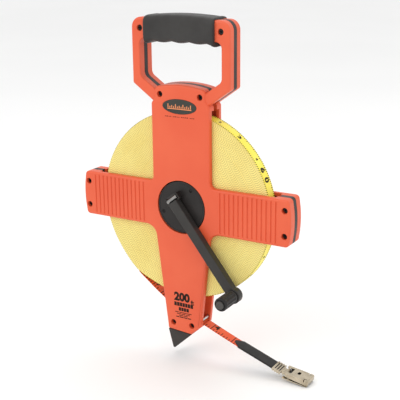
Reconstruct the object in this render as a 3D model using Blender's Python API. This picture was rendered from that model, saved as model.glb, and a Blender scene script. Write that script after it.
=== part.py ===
"""Open-frame surveyor's tape reel: a 200 ft fibreglass blade on a cranked spool between two frame halves.

Metres. X is to the right, Z is up, and Y runs from the front half to the rear half, which meet about Y = 0.
Each piece is modelled with the spool's axis on the Y axis. The finished reel is then lowered by GRIP_Z, so
that the world's origin is the middle of the hand grip that the reel is held by.
"""

from math import atan2, cos, pi, radians, sin, sqrt, tan

import bmesh
import bpy
from mathutils import Matrix, Vector

MM = 0.001
GAP = 0.3 * MM  # left between pieces that touch
RUN = 0.4 * MM  # running clearance of a turning piece

# Blade and spool
BLADE_WIDTH = 12.7 * MM
BLADE_THICK = 0.5 * MM
ROLL_R = 95.0 * MM
DRUM_R = 36.0 * MM
ROLL_HALF = 6.9 * MM
DISC_R = 26.3 * MM
JOURNAL_R = 9.5 * MM
DISC_FRONT = 12.2 * MM
ANCHOR_R = 1.2 * MM
ANCHOR_PLACE = (33.6 * MM, 0.0)
DISC_SHANK_R = 0.9 * MM
DISC_HEAD_R = 1.5 * MM
DISC_SEAT_Y = -10.4 * MM
DISC_SCREWS_REACH = 21.4 * MM

# Frame
FRAME_HALF = 12.7 * MM  # mid-plane to the outer face of each half
RING_HALF = 11.3 * MM  # the handle ring lies a little below the outer face
BAY_HALF = 7.2 * MM  # mid-plane to the inner face beside the roll
SEAM_HALF = 3.1 * MM  # mid-plane to the inner face where a seam strip lies between the halves
BAY_R = 103.5 * MM  # the halves are cut back inside this radius
ARM_R = 118.5 * MM
HEAD_R = 121.5 * MM
ARM_HALF = 23.2 * MM
LEG_HALF = 32.5 * MM
HEAD_HALF = 28.0 * MM
SHOULDER_Z = 104.0 * MM
EDGE_R = 2.2 * MM
WALL = 2.6 * MM
STRIP_FOOT_Z = 107.5 * MM  # the handle's seam strip ends here, above the outer edge of the roll

# Handle ring and grip
RING_HALF_WIDTH = 54.0 * MM
RING_TOP = 183.5 * MM
RING_WALL = 9.0 * MM
BAR_BOTTOM = 163.5 * MM
GRIP_HALF_LENGTH = 38.5 * MM
GRIP_HALF_DEPTH = 15.2 * MM
GRIP_TOP = 187.4 * MM
GRIP_BOTTOM = 158.6 * MM
GRIP_Z = 173.0 * MM  # the grip's middle above the spool's axis
FINGERS = 4

# Fasteners
SCREW_R = 1.5 * MM
SCREW_HEAD_R = 2.7 * MM
SCREW_PLACES = {
    "ring_left": (-44.4 * MM, 173.2 * MM),
    "ring_right": (44.4 * MM, 173.2 * MM),
    "head_left": (-22.3 * MM, 111.2 * MM),
    "head_right": (22.3 * MM, 111.2 * MM),
    "left_arm_upper": (-112.2 * MM, 12.8 * MM),
    "left_arm_lower": (-112.2 * MM, -12.4 * MM),
    "right_arm_upper": (112.2 * MM, 12.8 * MM),
    "right_arm_lower": (112.2 * MM, -12.4 * MM),
    "foot_left": (-11.4 * MM, -125.3 * MM),
    "foot_right": (10.3 * MM, -125.3 * MM),
}
SCREW_SINK = 3.4 * MM  # the heads lie this far below the outer face
SCREW_HEAD_H = 1.8 * MM
SCREW_TIP = 8.0 * MM

# Badge plate on the head
BADGE_PLACE = (0.0, 100.6 * MM)
BADGE_HALF_X = 18.8 * MM
BADGE_HALF_Z = 7.1 * MM
BADGE_BACK = -12.2 * MM
BADGE_FRONT = -13.0 * MM

# Arm ribs
RIB_PITCH = 4.95 * MM
RIB_FIRST = 44.0 * MM
RIB_GROOVES = 13
GROOVE_WIDTH = 1.4 * MM
GROOVE_DEPTH = 0.9 * MM

# Crank: it lies along CRANK_ANGLE below +X, in front of the disc
CRANK_ANGLE = radians(52.0)
CRANK_ALONG = Vector((cos(CRANK_ANGLE), 0.0, -sin(CRANK_ANGLE)))
CRANK_ACROSS = Vector((sin(CRANK_ANGLE), 0.0, cos(CRANK_ANGLE)))
CRANK_BACK = -13.2 * MM
CRANK_FRONT = -21.4 * MM
CRANK_HALF = 5.2 * MM
CRANK_BOSS_R = 7.8 * MM
KNOB_REACH = 100.6 * MM
FOLD_REACH = -11.0 * MM  # the fold's hinge lies beyond the spool's axis
FOLD_Y = 0.5 * (CRANK_BACK + CRANK_FRONT)
FOLD_PIN_R = 2.2 * MM
EAR_INNER = 5.6 * MM
EAR_OUTER = 8.8 * MM
KNOB_R = 6.9 * MM
KNOB_LENGTH = 23.4 * MM
KNOB_FLUTES = 12
SPINDLE_R = 2.4 * MM
SPINDLE_CAP_R = 4.1 * MM

# Blade outlet and end fittings
GUIDE_R = 1.5 * MM
GUIDE_PLACE = (18.2 * MM, -119.8 * MM)
OUTLET_X = 21.0 * MM
SLEEVE_X = 57.0 * MM
FERRULE_LENGTH = 13.0 * MM
FERRULE_HALF_WIDTH = 7.4 * MM
HOOK_TILT = radians(8.0)
HOOK_PIVOT = (112.3 * MM, -157.3 * MM)
HOOK_PIN_R = 1.0 * MM
HOOK_LENGTH = 25.6 * MM
HOOK_HALF_WIDTH = 8.0 * MM
HOOK_SHEET = 0.9 * MM

# The blade's way from the roll's lower left to its free end, as X and Z in the reel's plane
LAP_POINTS = [(-60.0, 95.8), (-50.0, 96.3), (-42.0, 97.0)]  # degrees from straight down, and radius in mm
RUN_POINTS = [(-54.5, -81.2), (-45.7, -88.0), (-33.5, -97.2), (-22.0, -104.8), (-8.0, -112.0), (6.0, -118.0)]
FREE_POINTS = [(21.0, -123.8), (39.5, -131.2), (60.0, -139.0), (80.0, -146.1), (98.7, -152.8)]

MATERIALS = {
    "frame_plastic": ((0.80, 0.14, 0.055), 0.42, 0.0),
    "black_rubber": ((0.055, 0.053, 0.052), 0.75, 0.0),
    "black_plastic": ((0.040, 0.036, 0.035), 0.50, 0.0),
    "blade_yellow": ((0.82, 0.68, 0.20), 0.60, 0.0),
    "blade_orange": ((0.85, 0.10, 0.03), 0.55, 0.0),
    "vinyl": ((0.035, 0.032, 0.032), 0.45, 0.0),
    "nickel": ((0.66, 0.58, 0.45), 0.28, 1.0),
    "steel": ((0.62, 0.62, 0.62), 0.25, 1.0),
    "dark_steel": ((0.05, 0.05, 0.055), 0.40, 0.8),
    "badge_enamel": ((0.030, 0.028, 0.030), 0.35, 0.0),
}


# Scene and material helpers


def clear_scene():
    for obj in list(bpy.data.objects):
        bpy.data.objects.remove(obj, do_unlink=True)


def material_for(node, kind):
    """Each sub-part has its own material, so that one can be changed without the others."""
    colour, roughness, metallic = MATERIALS[kind]
    material = bpy.data.materials.new(node)
    material.use_nodes = True
    shader = material.node_tree.nodes["Principled BSDF"]
    shader.inputs["Base Color"].default_value = (*colour, 1.0)
    shader.inputs["Roughness"].default_value = roughness
    shader.inputs["Metallic"].default_value = metallic
    material.diffuse_color = (*colour, 1.0)
    return material


def add_object(name, bm, kind=None):
    """A named object from a bmesh, or a hidden cutter if it has no material."""
    bm.normal_update()
    bmesh.ops.recalc_face_normals(bm, faces=bm.faces)
    mesh = bpy.data.meshes.new(name)
    bm.to_mesh(mesh)
    bm.free()
    obj = bpy.data.objects.new(name, mesh)
    bpy.context.scene.collection.objects.link(obj)
    if kind is None:
        obj.hide_render = True
        obj.display_type = "WIRE"
    else:
        mesh.materials.append(material_for(name, kind))
        mesh.shade_smooth()
        mesh.set_sharp_from_angle(angle=radians(30))
    return obj


def add_pivot(name, place, parent=None):
    pivot = bpy.data.objects.new(name, None)
    bpy.context.scene.collection.objects.link(pivot)
    pivot.empty_display_size = 0.01
    if parent:
        pivot.parent = parent
        place = Vector(place) - parent.matrix_world.translation
    pivot.location = place
    bpy.context.view_layer.update()
    return pivot


def hang_on(pivot, *objects):
    """Put each object's origin on the pivot and parent it, leaving its shape where it is."""
    place = pivot.matrix_world.translation.copy()
    for obj in objects:
        obj.data.transform(Matrix.Translation(-place))
        obj.parent = pivot


def combine(obj, other, operation):
    """A Boolean modifier that joins other to obj, or cuts it away."""
    other.hide_render = True
    other.display_type = "WIRE"
    modifier = obj.modifiers.new(other.name, "BOOLEAN")
    modifier.operation = operation
    modifier.object = other
    modifier.solver = "EXACT"


# Outlines in the XZ plane, as lists of (x, z)


def rounded(corners, steps=4):
    """The outline through corners of (x, z, radius), each corner's arc in so many steps."""
    outline = []
    for i, (x, z, radius) in enumerate(corners):
        here = Vector((x, z))
        if radius <= 0:
            outline.append(here)
            continue
        before = (Vector(corners[i - 1][:2]) - here).normalized()
        after = (Vector(corners[(i + 1) % len(corners)][:2]) - here).normalized()
        half = before.angle(after) / 2
        centre = here + (before + after).normalized() * (radius / sin(half))
        start = here + before * (radius / tan(half)) - centre
        end = here + after * (radius / tan(half)) - centre
        first = atan2(start.y, start.x)
        turn = (atan2(end.y, end.x) - first + pi) % (2 * pi) - pi
        for k in range(steps + 1):
            angle = first + turn * k / steps
            outline.append(centre + radius * Vector((cos(angle), sin(angle))))
    return outline


def circle(radius, steps=48, centre=(0.0, 0.0)):
    return [
        Vector((centre[0] + radius * cos(2 * pi * k / steps), centre[1] + radius * sin(2 * pi * k / steps)))
        for k in range(steps)
    ]


def ellipse(half_x, half_z, centre, steps=40):
    return [
        Vector((centre[0] + half_x * cos(2 * pi * k / steps), centre[1] + half_z * sin(2 * pi * k / steps)))
        for k in range(steps)
    ]


def signed_area(outline):
    return 0.5 * sum(a.x * b.y - b.x * a.y for a, b in zip(outline, outline[1:] + outline[:1]))


def offset(outline, distance):
    """The outline moved inwards by distance, or outwards if it is negative."""
    side = 1.0 if signed_area(outline) > 0 else -1.0
    moved = []
    for i, here in enumerate(outline):
        to_here = (here - outline[i - 1]).normalized()
        onward = (outline[(i + 1) % len(outline)] - here).normalized()
        normal = Vector((-(to_here.y + onward.y), to_here.x + onward.x)).normalized()
        stretch = max(0.3, normal.dot(Vector((-onward.y, onward.x))))
        moved.append(here + normal * (side * distance / stretch))
    return moved


# Solids


def loft(bm, sections, opening_sections=None):
    """One closed solid through sections of (y, outline), with an optional opening through it."""
    caps = {0: [], -1: []}
    for stack in (sections, opening_sections or []):
        loops = [[bm.verts.new((p.x, y, p.y)) for p in outline] for y, outline in stack]
        for lower, upper in zip(loops, loops[1:]):
            count = len(lower)
            for i in range(count):
                j = (i + 1) % count
                bm.faces.new((lower[i], lower[j], upper[j], upper[i]))
        for end in caps:
            if loops:
                caps[end].append(loops[end])
    for loops in caps.values():
        if len(loops) == 1:
            bm.faces.new(loops[0])
        else:
            edges = [
                bm.edges.get((loop[i], loop[(i + 1) % len(loop)])) for loop in loops for i in range(len(loop))
            ]
            bmesh.ops.triangle_fill(bm, edges=edges, use_beauty=True)


def rim_sections(outline, y_inner, y_outer, radius, opening=False, steps=3):
    """Sections from y_inner to y_outer, with the rim at y_outer rounded."""
    side = 1.0 if y_outer > y_inner else -1.0
    sections = [(y_inner, outline)]
    for k in range(steps + 1):
        angle = 0.5 * pi * k / steps
        inward = radius * (1 - cos(angle)) * (-1.0 if opening else 1.0)
        sections.append((y_outer - side * radius * (1 - sin(angle)), offset(outline, inward)))
    return sections


def plate(name, outline, y0, y1, kind=None, opening=None):
    bm = bmesh.new()
    openings = [(y0, opening), (y1, opening)] if opening else None
    loft(bm, [(y0, outline), (y1, outline)], openings)
    return add_object(name, bm, kind)


def rounded_plate(name, outline, y_inner, y_outer, radius, kind=None, opening=None):
    bm = bmesh.new()
    openings = rim_sections(opening, y_inner, y_outer, radius * 0.7, opening=True) if opening else None
    loft(bm, rim_sections(outline, y_inner, y_outer, radius), openings)
    return add_object(name, bm, kind)


def pillow(name, outline, y0, y1, radius, kind=None, steps=3):
    """A plate with both rims rounded."""
    lower = rim_sections(outline, 0.5 * (y0 + y1), y0, radius, steps=steps)[1:]
    upper = rim_sections(outline, 0.5 * (y0 + y1), y1, radius, steps=steps)[1:]
    bm = bmesh.new()
    loft(bm, lower[::-1] + upper)
    return add_object(name, bm, kind)


def turned(name, profile, kind=None, centre=(0.0, 0.0), steps=40, bore=None):
    """A solid turned about Y through centre. profile is (y, radius) from end to end."""
    bm = bmesh.new()
    openings = [(y, circle(bore, steps, centre)) for y in (profile[0][0], profile[-1][0])] if bore else None
    loft(bm, [(y, circle(r, steps, centre)) for y, r in profile], openings)
    return add_object(name, bm, kind)


def boxes(name, spans, kind=None):
    """Separate boxes of ((x0, x1), (y0, y1), (z0, z1))."""
    bm = bmesh.new()
    for span in spans:
        made = bmesh.ops.create_cube(bm, size=1.0)["verts"]
        low = Vector([min(s) for s in span])
        high = Vector([max(s) for s in span])
        for vert in made:
            vert.co = [low[a] + (vert.co[a] + 0.5) * (high[a] - low[a]) for a in range(3)]
    return add_object(name, bm, kind)


def frame_of(along, across, origin=(0.0, 0.0, 0.0)):
    """The placing of a shape modelled along X and across Z, with Y kept."""
    placing = Matrix.Identity(4)
    for row in range(3):
        placing[row][0] = along[row]
        placing[row][2] = across[row]
        placing[row][3] = origin[row]
    return placing


def moved(obj, placing):
    obj.data.transform(placing)
    if placing.determinant() < 0:
        obj.data.flip_normals()
    return obj


# Frame


def arc_about_axis(radius, first, last, steps):
    """Corners along an arc about the spool's axis, between two angles from +X."""
    turns = [first + (last - first) * k / steps for k in range(1, steps)]
    return [(radius * cos(turn), radius * sin(turn), 0.0) for turn in turns]


def foot_corners():
    """The lower edge: its right end is the outlet corner, and its slanted side runs on into the spike."""
    return [
        (-17.8 * MM, -133.3 * MM, 0.0),
        (9.6 * MM, -135.2 * MM, 0.0),
        (20.4 * MM, -125.4 * MM, 1.2 * MM),
    ]


def cross_outline():
    """Head, upper leg, arms and lower leg as one outline, anticlockwise from the foot."""
    arm_end = sqrt(ARM_R**2 - ARM_HALF**2)
    head_end = sqrt(HEAD_R**2 - HEAD_HALF**2)
    arm_angle = atan2(ARM_HALF, arm_end)
    head_angle = atan2(head_end, HEAD_HALF)
    right = [
        (32.0 * MM, -ARM_HALF, 12.0 * MM),
        (arm_end, -ARM_HALF, 4.0 * MM),
        *arc_about_axis(ARM_R, -arm_angle * 0.6, arm_angle * 0.6, 6),
        (arm_end, ARM_HALF, 4.0 * MM),
        (LEG_HALF, ARM_HALF, 5.0 * MM),
        (LEG_HALF, SHOULDER_Z - 2.0 * MM, 4.0 * MM),
        (HEAD_HALF, SHOULDER_Z + 4.5 * MM, 4.0 * MM),
        (HEAD_HALF, head_end, 4.0 * MM),
    ]
    top = arc_about_axis(HEAD_R, head_angle + 0.05, pi - head_angle - 0.05, 10)
    left = [(-x, z, r) for x, z, r in reversed(right)]
    left[-1] = (-31.3 * MM, -ARM_HALF, 12.0 * MM)
    return rounded(foot_corners() + right + top + left)


def ring_outline():
    """The outer edge of the handle ring, whose legs slant in to the head."""
    corners = [
        (24.0 * MM, 98.6 * MM, 0.0),
        (RING_HALF_WIDTH, 119.8 * MM, 3.0 * MM),
        (RING_HALF_WIDTH, RING_TOP, 10.0 * MM),
    ]
    return rounded(corners + [(-x, z, r) for x, z, r in reversed(corners)], steps=5)


def ring_opening():
    """The finger opening, before the head closes its lower side."""
    inner = RING_HALF_WIDTH - RING_WALL
    corners = [
        (24.0 * MM, 112.6 * MM, 0.0),
        (inner, 127.0 * MM, 7.0 * MM),
        (inner, BAR_BOTTOM, 6.0 * MM),
    ]
    return rounded(corners + [(-x, z, r) for x, z, r in reversed(corners)], steps=5)


def channel_outline():
    """The space between the halves that the blade runs through on its way to the outlet."""
    return [
        Vector((x * MM, z * MM))
        for x, z in (
            (-60.0, -60.0),
            (-60.0, -88.0),
            (-34.0, -98.8),
            (-22.4, -106.6),
            (-8.4, -113.6),
            (5.6, -119.6),
            (20.0, -124.9),
            (32.0, -129.6),
            (45.0, -60.0),
        )
    ]


def half_body(name, side):
    """The solid that each half is cut from: the cross, with the handle ring joined to it."""
    body = rounded_plate(name, cross_outline(), side * GAP / 2, side * FRAME_HALF, EDGE_R, "frame_plastic")
    ring = rounded_plate(
        f"{name}_ring", ring_outline(), side * GAP / 2, side * RING_HALF, EDGE_R, opening=ring_opening()
    )
    combine(body, ring, "UNION")
    return body


def cut_inside(body, side):
    """Cut back the inner face: the seam strips' room, the roll's bay, the blade's channel and the pockets."""
    name = body.name
    past = -side * 2.0 * MM
    far = 140.0 * MM
    seam = boxes(f"{name}_seam", [((-far, far), (past, side * SEAM_HALF), (-60.0 * MM, 200.0 * MM))])
    combine(body, seam, "DIFFERENCE")
    bay = turned(f"{name}_bay", [(past, BAY_R), (side * BAY_HALF, BAY_R)], steps=72)
    combine(body, bay, "DIFFERENCE")
    channel = plate(f"{name}_channel", channel_outline(), past, side * BAY_HALF)
    combine(body, channel, "DIFFERENCE")
    floor = side * (FRAME_HALF - WALL)
    deep = side * (BAY_HALF - 1.0 * MM)
    inset = WALL + 0.6 * MM
    spans = [
        ((-LEG_HALF + inset, LEG_HALF - inset), (deep, floor), (34.0 * MM, 96.0 * MM)),
        ((-22.0 * MM, 22.0 * MM), (deep, floor), (-92.0 * MM, -34.0 * MM)),
        ((38.0 * MM, 99.0 * MM), (deep, floor), (-ARM_HALF + inset, ARM_HALF - inset)),
        ((-99.0 * MM, -38.0 * MM), (deep, floor), (-ARM_HALF + inset, ARM_HALF - inset)),
    ]
    combine(body, boxes(f"{name}_pockets", spans), "DIFFERENCE")
    tang = boxes(
        f"{name}_tang",
        [((-15.9 * MM, 4.4 * MM), (past, side * 2.3 * MM), (-140.0 * MM, -119.5 * MM))],
    )
    combine(body, tang, "DIFFERENCE")


def cut_ribs(body, side):
    """Grip ribs on both arms: what is left between shallow grooves across each arm."""
    outer = side * (FRAME_HALF + 1.0 * MM)
    floor = side * (FRAME_HALF - GROOVE_DEPTH)
    half = ARM_HALF - 2.4 * MM
    spans = []
    for k in range(RIB_GROOVES):
        for sign in (-1, 1):
            x = sign * (RIB_FIRST + k * RIB_PITCH)
            spans.append(((x - GROOVE_WIDTH / 2, x + GROOVE_WIDTH / 2), (outer, floor), (-half, half)))
    combine(body, boxes(f"{body.name}_ribs", spans), "DIFFERENCE")


def front_frame_half():
    body = half_body("front_frame_half", -1)
    cut_inside(body, -1)
    cut_ribs(body, -1)
    hub = turned("front_hub_hole", [(-14 * MM, DISC_R + RUN), (-5 * MM, DISC_R + RUN)], steps=56)
    combine(body, hub, "DIFFERENCE")
    seat_outline = ellipse(BADGE_HALF_X + GAP, BADGE_HALF_Z + GAP, BADGE_PLACE)
    badge = plate("front_badge_seat", seat_outline, -14 * MM, BADGE_BACK + GAP)
    combine(body, badge, "DIFFERENCE")
    seat_y = -FRAME_HALF + SCREW_SINK + SCREW_HEAD_H + GAP
    shank, seat = SCREW_R + RUN, SCREW_HEAD_R + GAP
    stepped = [(1.0 * MM, shank), (seat_y, shank), (seat_y, seat), (-14 * MM, seat)]
    for place, centre in SCREW_PLACES.items():
        hole = turned(f"front_hole_{place}", stepped, centre=centre, steps=16)
        combine(body, hole, "DIFFERENCE")
    cut_guide_seats(body, -1)
    return body


def rear_frame_half():
    body = half_body("rear_frame_half", 1)
    cut_inside(body, 1)
    cut_ribs(body, 1)
    hub = turned("rear_hub_hole", [(5 * MM, 12.5 * MM), (14 * MM, 12.5 * MM)], steps=40)
    combine(body, hub, "DIFFERENCE")
    reach = [(-1.0 * MM, SCREW_R + GAP), (SCREW_TIP + GAP, SCREW_R + GAP)]
    for place, centre in SCREW_PLACES.items():
        hole = turned(f"rear_hole_{place}", reach, centre=centre, steps=16)
        combine(body, hole, "DIFFERENCE")
    cut_guide_seats(body, 1)
    return body


def cut_guide_seats(body, side):
    """Blind seats for the ends of the blade's guide pin."""
    ends = [(side * (BAY_HALF - 1.0 * MM), GUIDE_R + GAP), (side * 9.6 * MM, GUIDE_R + GAP)]
    seat = turned(f"{body.name}_guide_seat", ends, centre=GUIDE_PLACE, steps=16)
    combine(body, seat, "DIFFERENCE")


# Seam strips between the halves


def strip_holes(strip, places):
    for place in places:
        ends = [(-5.0 * MM, SCREW_R + RUN), (5.0 * MM, SCREW_R + RUN)]
        hole = turned(f"{strip.name}_{place}", ends, centre=SCREW_PLACES[place], steps=16)
        combine(strip, hole, "DIFFERENCE")


def handle_seam_strip():
    """The black strip that shows all round the handle ring and over the head."""
    half = SEAM_HALF - GAP
    strip = plate("handle_seam_strip", ring_outline(), -half, half, "black_rubber", opening=ring_opening())
    head = plate("handle_strip_head", [p for p in cross_outline() if p.y > 60 * MM], -half, half)
    combine(strip, head, "UNION")
    bay = turned("handle_strip_bay", [(-5 * MM, BAY_R + 2.0 * MM), (5 * MM, BAY_R + 2.0 * MM)], steps=72)
    combine(strip, bay, "DIFFERENCE")
    below = boxes("handle_strip_below", [((-0.1, 0.1), (-0.01, 0.01), (0.04, STRIP_FOOT_Z))])
    combine(strip, below, "DIFFERENCE")
    strip_holes(strip, ("ring_left", "ring_right", "head_left", "head_right"))
    return strip


def arm_seam_strip(name, sign, places):
    """A plate between the arm ends, which shows as a black C round the end of the arm."""
    half = SEAM_HALF - GAP
    root = [Vector((sign * 95.0 * MM, sign * ARM_HALF)), Vector((sign * 95.0 * MM, -sign * ARM_HALF))]
    end = [p for p in cross_outline() if sign * p.x > 95.0 * MM]
    end.sort(key=lambda p: sign * p.y)
    strip = plate(name, root + end, -half, half, "black_rubber")
    bay = turned(f"{name}_bay", [(-5 * MM, BAY_R + 2.0 * MM), (5 * MM, BAY_R + 2.0 * MM)], steps=72)
    combine(strip, bay, "DIFFERENCE")
    strip_holes(strip, places)
    return strip


# Handle grip, spike, badge and screws


def grip_outline():
    """The grip's front outline: a slightly arched top, and four finger hollows underneath."""
    half = GRIP_HALF_LENGTH
    top = [(x * half, GRIP_TOP - 2.2 * MM * x * x, 0.0) for x in (0.75, 0.5, 0.25, 0.0, -0.25, -0.5, -0.75)]
    bottom = []
    steps = 6
    hollow = 2.6 * MM
    for k in range(1, FINGERS * steps):
        share = k / (FINGERS * steps)
        x = -half + 2 * half * share
        ridge = abs(cos(pi * FINGERS * share))
        rise = 1.6 * MM * (1 - (2 * share - 1) ** 4)
        bottom.append((x, GRIP_BOTTOM + rise + hollow * (1 - ridge**1.3) * 0.5, 0.0))
    corners = [(-half, GRIP_BOTTOM, 3.0 * MM)] + bottom[1:-1] + [(half, GRIP_BOTTOM, 3.0 * MM)]
    corners += [(half, GRIP_TOP - 2.2 * MM, 4.0 * MM)] + top + [(-half, GRIP_TOP - 2.2 * MM, 4.0 * MM)]
    return rounded(corners)


def hand_grip():
    grip = pillow(
        "hand_grip", grip_outline(), -GRIP_HALF_DEPTH, GRIP_HALF_DEPTH, 3.2 * MM, "black_rubber", steps=4
    )
    reach = RING_HALF + GAP
    bar = boxes("grip_bar_room", [((-0.06, 0.06), (-reach, reach), (BAR_BOTTOM - GAP, RING_TOP + GAP))])
    combine(grip, bar, "DIFFERENCE")
    return grip


def ground_spike():
    """A pointed foot that carries on the lower leg's slant, with a tang held between the halves."""
    corners = [
        (-17.7 * MM, -133.62 * MM, 0.0),
        (-17.4 * MM, -160.3 * MM, 1.3 * MM),
        (9.2 * MM, -135.5 * MM, 0.0),
    ]
    outline = rounded(corners)
    bm = bmesh.new()
    depth = 12.4 * MM
    loft(bm, [(-depth, outline), (depth, outline)])
    top, bottom = -133.6 * MM, -159.0 * MM
    for vert in bm.verts:
        share = min(1.0, max(0.0, (vert.co.z - top) / (bottom - top)))
        vert.co.y *= 1 - 0.72 * share
    spike = add_object("ground_spike", bm, "black_plastic")
    tang_corners = [(-15.5, -119.9), (-15.5, -137.0), (4.0, -137.0), (4.0, -119.9)]
    tang = plate("spike_tang", [Vector((x * MM, z * MM)) for x, z in tang_corners], -2.0 * MM, 2.0 * MM)
    combine(spike, tang, "UNION")
    ends = [(-4.0 * MM, SCREW_R + RUN), (4.0 * MM, SCREW_R + RUN)]
    hole = turned("spike_tang_hole", ends, centre=SCREW_PLACES["foot_left"], steps=16)
    combine(spike, hole, "DIFFERENCE")
    return spike


def badge_plate():
    outline = ellipse(BADGE_HALF_X, BADGE_HALF_Z, BADGE_PLACE)
    return rounded_plate("badge_plate", outline, BADGE_BACK, BADGE_FRONT, 0.4 * MM, "badge_enamel")


def socket_cut(name, centre, y_face, radius, depth):
    """A blind hexagonal socket in a screw's head."""
    side = 1.0 if y_face > 0 else -1.0
    return plate(name, circle(radius, 6, centre), y_face + side * MM, y_face - side * depth)


def screw(name, centre, y_head, y_under, y_tip, head_r, shank_r, kind):
    obj = turned(
        name,
        [(y_head, head_r), (y_under, head_r), (y_under, shank_r), (y_tip, shank_r)],
        kind,
        centre,
        steps=16,
    )
    combine(obj, socket_cut(f"{name}_socket", centre, y_head, head_r * 0.55, 1.0 * MM), "DIFFERENCE")
    return obj


def frame_screws():
    head = -FRAME_HALF + SCREW_SINK
    for place, centre in SCREW_PLACES.items():
        name = f"screw_{place}"
        screw(name, centre, head, head + SCREW_HEAD_H, SCREW_TIP, SCREW_HEAD_R, SCREW_R, "dark_steel")


def guide_pin():
    reach = 9.3 * MM
    return turned("blade_guide_pin", [(-reach, GUIDE_R), (reach, GUIDE_R)], "steel", GUIDE_PLACE, steps=20)


def rear_bush():
    profile = [(7.5 * MM, 12.2 * MM), (12.4 * MM, 12.2 * MM)]
    return turned("rear_bush", profile, "black_plastic", bore=JOURNAL_R + RUN, steps=40)


# Spool


def hub_drum():
    """The spool that the blade is wound on, with the rear journal that it turns on."""
    drum_ends = [(-ROLL_HALF, DRUM_R), (ROLL_HALF, DRUM_R)]
    journal_ends = [(ROLL_HALF, JOURNAL_R), (12.9 * MM, JOURNAL_R)]
    drum = turned("hub_drum", drum_ends + journal_ends, "black_plastic", steps=64)
    anchor_reach = [(-8 * MM, ANCHOR_R + GAP), (4 * MM, ANCHOR_R + GAP)]
    combine(drum, turned("drum_anchor_hole", anchor_reach, centre=ANCHOR_PLACE, steps=12), "DIFFERENCE")
    screw_hole = turned("drum_cap_hole", [(4 * MM, 2.3 * MM), (14 * MM, 2.3 * MM)], steps=16)
    combine(drum, screw_hole, "DIFFERENCE")
    hole_reach = [(-8 * MM, DISC_SHANK_R + GAP), (-0.5 * MM, DISC_SHANK_R + GAP)]
    for k, centre in enumerate(disc_screw_places()):
        hole = turned(f"drum_disc_hole_{k + 1}", hole_reach, centre=centre, steps=12)
        combine(drum, hole, "DIFFERENCE")
    return drum


def blade_roll():
    return turned(
        "blade_roll", [(-ROLL_HALF, ROLL_R), (ROLL_HALF, ROLL_R)], "blade_yellow", steps=96, bore=DRUM_R + GAP
    )


def blade_anchor_pin():
    reach = [(-6.6 * MM, ANCHOR_R), (3.7 * MM, ANCHOR_R)]
    return turned("blade_anchor_pin", reach, "steel", ANCHOR_PLACE, steps=12)


def disc_screw_places():
    """Three screws in the disc: one under the crank, and one 110 degrees to each side of it."""
    return [
        (DISC_SCREWS_REACH * cos(turn), DISC_SCREWS_REACH * sin(turn))
        for turn in (-CRANK_ANGLE, radians(110.0) - CRANK_ANGLE, radians(-110.0) - CRANK_ANGLE)
    ]


def drive_disc():
    """The black disc that the crank drives: it runs in the front half, and carries the crank's two ears."""
    disc = rounded_plate("drive_disc", circle(DISC_R, 56), -7.2 * MM, -DISC_FRONT, 0.5 * MM, "black_plastic")
    placing = frame_of(CRANK_ALONG, CRANK_ACROSS)
    ears = [
        ((FOLD_REACH - 3.6 * MM, FOLD_REACH + 3.6 * MM), (-18.6 * MM, -11.0 * MM), span)
        for span in ((EAR_INNER, EAR_OUTER), (-EAR_OUTER, -EAR_INNER))
    ]
    combine(disc, moved(boxes("disc_ears", ears), placing), "UNION")
    combine(disc, fold_cylinder("disc_ear_bore", FOLD_PIN_R + GAP, 7.4 * MM), "DIFFERENCE")
    shank, seat = DISC_SHANK_R + GAP, DISC_HEAD_R + RUN
    stepped = [(-6 * MM, shank), (DISC_SEAT_Y, shank), (DISC_SEAT_Y, seat), (-13 * MM, seat)]
    for k, centre in enumerate(disc_screw_places()):
        hole = turned(f"disc_screw_hole_{k + 1}", stepped, centre=centre, steps=16)
        combine(disc, hole, "DIFFERENCE")
    return disc


def disc_screws():
    y_under = DISC_SEAT_Y - GAP
    y_head = y_under - 1.2 * MM
    sizes = (y_head, y_under, -1.0 * MM, DISC_HEAD_R, DISC_SHANK_R, "dark_steel")
    return [screw(f"disc_screw_{k + 1}", place, *sizes) for k, place in enumerate(disc_screw_places())]


def rear_cap():
    outline = circle(14.5 * MM, 48)
    cap = rounded_plate("rear_hub_cap", outline, 13.2 * MM, 15.2 * MM, 0.8 * MM, "black_plastic")
    hole = turned("cap_screw_hole", [(12 * MM, 2.3 * MM), (17 * MM, 2.3 * MM)], steps=16)
    combine(cap, hole, "DIFFERENCE")
    return cap


def rear_cap_screw():
    ends = (17.1 * MM, 15.5 * MM, 5.0 * MM)
    return screw("rear_cap_screw", (0.0, 0.0), *ends, 4.0 * MM, 2.0 * MM, "dark_steel")


# Crank


def fold_cylinder(name, radius, half_length, kind=None, steps=24):
    """A cylinder on the crank's fold hinge, which runs across the crank."""
    bm = bmesh.new()
    sections = [(end * half_length, circle(radius, steps)) for end in (-1, 1)]
    loft(bm, sections)
    middle = CRANK_ALONG * FOLD_REACH + Vector((0.0, FOLD_Y, 0.0))
    along = frame_of(CRANK_ALONG, Vector((0.0, 1.0, 0.0)), middle)
    for row in range(3):
        along[row][1] = CRANK_ACROSS[row]
    bm.transform(along)
    return add_object(name, bm, kind)


def crank_outline():
    """The arm seen from the front: straight sides, and a round boss at the knob's end."""
    shoulder = sqrt(CRANK_BOSS_R**2 - CRANK_HALF**2)
    first = atan2(-CRANK_HALF, -shoulder)
    last = atan2(CRANK_HALF, -shoulder)
    outline = [Vector((FOLD_REACH, CRANK_HALF)), Vector((FOLD_REACH, -CRANK_HALF))]
    steps = 22
    for k in range(steps + 1):
        angle = first + (last - first) * k / steps
        outline.append(Vector((KNOB_REACH + CRANK_BOSS_R * cos(angle), CRANK_BOSS_R * sin(angle))))
    return outline


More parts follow.
